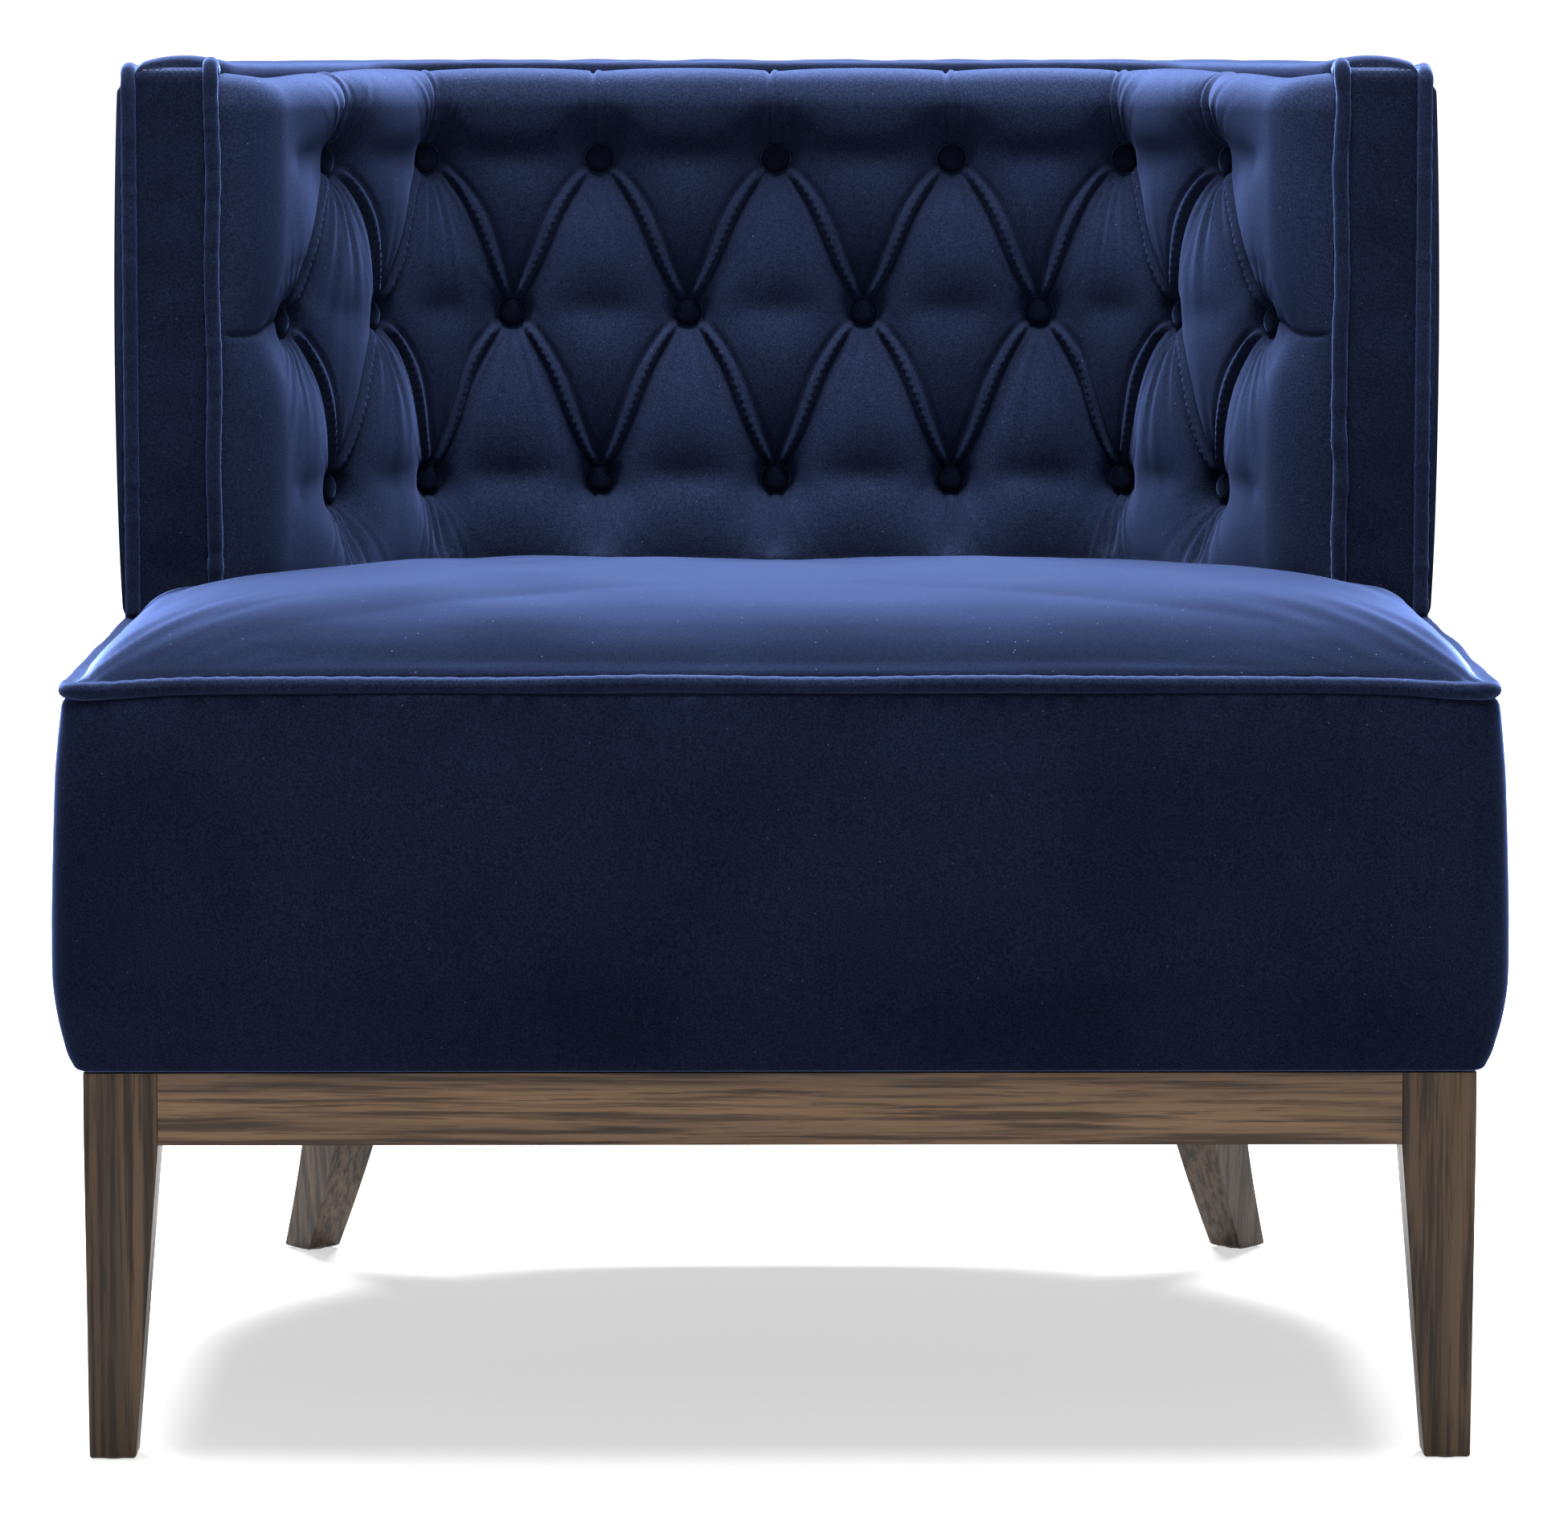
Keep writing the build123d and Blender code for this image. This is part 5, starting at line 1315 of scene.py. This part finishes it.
def speckled(name, colour, other, scale, roughness, metallic=0.0, bump_height=0.1 * MM,
             stretch=(1, 1, 1)):
    """A plain workshop material with some variation: timber, board, foam, cloth, metal or nylon."""
    material, tree, shader, place = new_finish(name)
    coarse = add_noise(tree, add_stretch(tree, place, stretch), scale, 5.0, 0.6)
    mottled = add_mix(tree, add_range(tree, coarse, 0.35, 0.65), colour, other)
    tree.links.new(mottled, shader.inputs["Base Color"])
    uneven = add_range(tree, coarse, 0.3, 0.7, roughness - 0.08, roughness + 0.08)
    tree.links.new(uneven, shader.inputs["Roughness"])
    shader.inputs["Metallic"].default_value = metallic
    add_bump(tree, shader, coarse, bump_height, 0.6)
    return material


# Plain finishes inside the chair, and the pieces that have them
INSIDE = (
    (dict(name="birch_timber", colour=(0.50, 0.36, 0.20), other=(0.62, 0.47, 0.29), scale=22.0,
          roughness=0.6, stretch=(1, 1, 6)),
     ("front_corner_blocks", "rear_corner_blocks", "rear_leg_dowels", "seat_front_board",
      "seat_side_board_left", "seat_side_board_right", "seat_front_blocks", "seat_rear_blocks",
      "seat_cross_rail", "wing_post_left", "wing_post_right", "wing_ribs", "corner_ribs", "rear_ribs")),
    (dict(name="birch_plywood", colour=(0.52, 0.38, 0.22), other=(0.66, 0.50, 0.32), scale=26.0,
          roughness=0.6, stretch=(1, 4, 14)),
     ("seat_rear_board", "back_bottom_plate", "back_top_plate", "tufting_board")),
    (dict(name="cream_foam", colour=(0.74, 0.68, 0.46), other=(0.82, 0.77, 0.58), scale=900.0,
          roughness=0.95, bump_height=0.6 * MM),
     ("seat_foam_core",)),
    (dict(name="black_webbing", colour=(0.012, 0.012, 0.013), other=(0.05, 0.05, 0.05), scale=420.0,
          roughness=0.8, bump_height=0.5 * MM),
     ("webbing_lengthwise", "webbing_crosswise")),
    (dict(name="black_base_cloth", colour=(0.008, 0.008, 0.009), other=(0.02, 0.02, 0.02), scale=700.0,
          roughness=0.9, bump_height=0.2 * MM),
     ("dust_cover",)),
    (dict(name="brown_fibreboard", colour=(0.24, 0.15, 0.08), other=(0.36, 0.24, 0.14), scale=260.0,
          roughness=0.8),
     ("back_outer_liner",)),
    (dict(name="waxed_twine", colour=(0.36, 0.28, 0.17), other=(0.5, 0.42, 0.28), scale=1200.0,
          roughness=0.8),
     ("button_ties",)),
    (dict(name="zinc_steel", colour=(0.5, 0.5, 0.48), other=(0.62, 0.62, 0.6), scale=260.0,
          roughness=0.38, metallic=1.0, bump_height=0.03 * MM),
     ("leg_bolts", "leg_nuts", "body_bolts", "tie_washers")),
    (dict(name="black_nylon", colour=(0.015, 0.015, 0.016), other=(0.03, 0.03, 0.03), scale=200.0,
          roughness=0.45, bump_height=0.03 * MM),
     ("leg_glides",)),
)


def lay_on(finish, *names):
    """Give some of the chair's own pieces a finish."""
    for name in names:
        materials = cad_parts[name].data.materials
        materials.clear()
        materials.append(finish)


# ------------------------------------------------------------------ operators


class SLIPPER_OT_seat(bpy.types.Operator):
    """Make the seat's border, its piping and its crown"""

    bl_idname = "slipper.seat"
    bl_label = "Seat"

    def execute(self, context):
        border, crown, cord = make_border(), make_crown(), make_seat_piping()
        dress(border, velvet("navy_velvet"), "velvet", "seat_border_cover", "seat_border_foam")
        dress(crown, velvet("seat_velvet"), "velvet", "seat_top_cover", "seat_foam_topper")
        dress(cord, velvet("navy_piping_velvet"), "piping_velvet", "seat_piping")
        return {"FINISHED"}


class SLIPPER_OT_back_pad(bpy.types.Operator):
    """Make the buttoned pad of back and wings"""

    bl_idname = "slipper.back_pad"
    bl_label = "Buttoned pad"

    def execute(self, context):
        pad = make_tufted_pad()
        dress(pad, velvet("padded_velvet"), "velvet", "back_inner_cover", "back_foam", "corner_foams",
              "wing_foam_left", "wing_foam_right")
        return {"FINISHED"}


class SLIPPER_OT_buttons(bpy.types.Operator):
    """Make the cloth-covered buttons"""

    bl_idname = "slipper.buttons"
    bl_label = "Buttons"

    def execute(self, context):
        finish = velvet("button_velvet")
        dress(make_buttons(finish), finish, "velvet", "back_buttons")
        return {"FINISHED"}


class SLIPPER_OT_wings(bpy.types.Operator):
    """Make the wing facings, their stitches and the inner piping"""

    bl_idname = "slipper.wings"
    bl_label = "Wing fronts"

    def execute(self, context):
        thread = speckled("navy_thread", (0.008, 0.011, 0.026), (0.016, 0.022, 0.05), 900.0, 0.95)
        for side, foams in ((1, ["facing_foams"]), (-1, [])):
            facing, cord = make_facing(side), make_inner_piping(side)
            dress(facing, velvet("navy_velvet"), "velvet", f"facing_cover_{side_name(side)}", *foams)
            dress(cord, velvet("navy_piping_velvet"), "piping_velvet", f"inner_piping_{side_name(side)}")
        dress(make_stitches(thread), thread, "velvet")
        return {"FINISHED"}


class SLIPPER_OT_outside(bpy.types.Operator):
    """Make the top band, the outer piping and the outside panel"""

    bl_idname = "slipper.outside"
    bl_label = "Top and outside"

    def execute(self, context):
        band, panel, cord = make_top_band(), make_outer_cover(), make_outer_piping()
        dress(band, velvet("navy_velvet"), "velvet", "back_top_cover", "back_top_foam")
        dress(panel, velvet("navy_velvet"), "velvet", "back_outer_cover", "back_outer_pad")
        dress(cord, velvet("navy_piping_velvet"), "piping_velvet", "outer_piping")
        return {"FINISHED"}


class SLIPPER_OT_base(bpy.types.Operator):
    """Finish the wooden base and everything inside the chair"""

    bl_idname = "slipper.base"
    bl_label = "Base and inside"

    def execute(self, context):
        along, across = 9.0, 330.0
        # Painted shade: the legs get darker copies of the same walnut as the aprons
        level = wood("walnut_level", (along, along, across), painted_light_level=0.88)
        upright = wood("walnut_upright", (across, across, along), painted_light_level=0.42)
        raked = wood("walnut_rear_leg", (across, across, along), (radians(14), 0, radians(45)), 0.5)
        lay_on(level, "front_apron", "side_apron_left", "side_apron_right", "rear_apron")
        lay_on(upright, "front_leg_left", "front_leg_right")
        lay_on(raked, "rear_leg_left", "rear_leg_right")
        for values, names in INSIDE:
            lay_on(speckled(**values), *names)
        return {"FINISHED"}


class SLIPPER_OT_stage(bpy.types.Operator):
    """Make the pale floor, the soft lights and the camera"""

    bl_idname = "slipper.stage"
    bl_label = "Stage"

    def execute(self, context):
        make_floor()
        make_lights()
        make_camera()
        return {"FINISHED"}


def make_floor():
    """A pale floor that sweeps up behind the chair."""
    reach, near, far, sweep, top = 9.0, -7.0, 5.0, 2.5, 7.0
    bend = [(far + sweep * sin(a), sweep * (1 - cos(a))) for a in np.linspace(0, pi / 2, 13)[1:]]
    side = [(near, 0.0), (far, 0.0), *bend, (far + sweep, top)]
    points = [(x, y, z) for y, z in side for x in (-reach, reach)]
    faces = [(2 * i, 2 * i + 1, 2 * i + 3, 2 * i + 2) for i in range(len(side) - 1)]
    mesh = bpy.data.meshes.new("studio_floor")
    mesh.from_pydata(points, [], faces)
    floor = new_object("studio_floor", mesh)
    mesh.materials.append(pale_floor())


def pale_floor():
    """White paper that glows by itself, painted light that lifts its shadow; it glows less near the chair,
    which paints a soft shadow under it.
    """
    material, tree, shader, place = new_finish("pale_floor")
    tone = add_mix(tree, add_noise(tree, place, 3.0, 3.0), (0.14, 0.14, 0.14), (0.16, 0.16, 0.16))
    tree.links.new(tone, shader.inputs["Base Color"])
    plan = tree.nodes.new("ShaderNodeVectorMath")
    plan.operation = "LENGTH"
    tree.links.new(place, plan.inputs[0])
    # Painted light and painted shadow: the glow is weaker near the chair and stronger farther off
    glow = add_range(tree, plan.outputs["Value"], 0.40, 0.66, 0.61, 1.0)
    tree.links.new(glow, shader.inputs["Emission Color"])
    shader.inputs["Emission Strength"].default_value = 1.0
    shader.inputs["Roughness"].default_value = 0.9
    shader.inputs["Specular IOR Level"].default_value = 0.1
    return material


def add_area(name, place, aim, width, height, power):
    """A soft area light aimed at a point."""
    data = bpy.data.lights.new(name, "AREA")
    data.shape, data.size, data.size_y, data.energy = "RECTANGLE", width, height, power
    lamp = bpy.data.objects.new(name, data)
    lamp.location = place
    lamp.rotation_euler = (Vector(aim) - Vector(place)).to_track_quat("-Z", "Y").to_euler()
    bpy.context.scene.collection.objects.link(lamp)


# Name, place, aim, width, height and power
LIGHTS = (
    ("overhead_softbox", (-0.1, -0.3, 2.9), (0.0, 0.0, 0.4), 1.6, 1.2, 420),
    ("rear_softbox", (0.0, 2.4, 3.6), (0.0, 0.0, 0.45), 3.0, 1.0, 2800),
    ("front_softbox", (0.4, -3.3, 3.0), (0.0, 0.0, 0.5), 2.0, 1.4, 50),
)


def make_lights():
    """Pale surroundings, a large light above, a strong one high behind and a weak one in front."""
    world = bpy.data.worlds.new("studio")
    world.use_nodes = True
    sky = world.node_tree.nodes["Background"]
    sky.inputs["Color"].default_value = (1, 1, 1, 1)
    sky.inputs["Strength"].default_value = 0.4
    bpy.context.scene.world = world
    for light in LIGHTS:
        add_area(*light)


def make_camera():
    """A long lens a little above the seat, looking slightly down."""
    dip, swing = 0.1062, -0.0056
    data = bpy.data.cameras.new("camera")
    data.sensor_width = 36.0
    data.lens = 162.2
    camera = bpy.data.objects.new("camera", data)
    camera.location = (-0.019, -4.110, 0.777)
    camera.rotation_euler = (pi / 2 - dip, 0.0, swing)
    bpy.context.scene.collection.objects.link(camera)
    bpy.context.scene.camera = camera
    bpy.context.scene.view_settings.view_transform = "Standard"


class SLIPPER_PT_panel(bpy.types.Panel):
    """The chair's pieces in the 3D view's sidebar"""

    bl_label = "Slipper Chair"
    bl_idname = "SLIPPER_PT_panel"
    bl_space_type = "VIEW_3D"
    bl_region_type = "UI"
    bl_category = "Slipper Chair"

    def draw(self, context):
        for operator in OPERATORS:
            self.layout.operator(operator.bl_idname)
        for key, kind in GROUPS.items():
            box = self.layout.box()
            for name in kind.__annotations__:
                box.prop(getattr(context.scene, key), name)


OPERATORS = (
    SLIPPER_OT_seat, SLIPPER_OT_back_pad, SLIPPER_OT_buttons, SLIPPER_OT_wings, SLIPPER_OT_outside,
    SLIPPER_OT_base, SLIPPER_OT_stage,
)
GROUPS = {"slipper_seat": SeatSizes, "slipper_back": BackSizes, "slipper_finishes": Finishes}


def register():
    """Add the settings, the operators and the panel."""
    for name, group in GROUPS.items():
        bpy.utils.register_class(group)
        setattr(bpy.types.Scene, name, PointerProperty(type=group))
    for cls in (*OPERATORS, SLIPPER_PT_panel):
        bpy.utils.register_class(cls)


def unregister():
    """Take the panel, the operators and the settings away."""
    for cls in reversed((*OPERATORS, SLIPPER_PT_panel)):
        bpy.utils.unregister_class(cls)
    for name, group in GROUPS.items():
        delattr(bpy.types.Scene, name)
        bpy.utils.unregister_class(group)


def main():
    """Make the whole chair."""
    register()
    bpy.ops.slipper.seat()
    bpy.ops.slipper.back_pad()
    bpy.ops.slipper.buttons()
    bpy.ops.slipper.wings()
    bpy.ops.slipper.outside()
    bpy.ops.slipper.base()
    bpy.ops.slipper.stage()


if __name__ == "__main__":
    main()
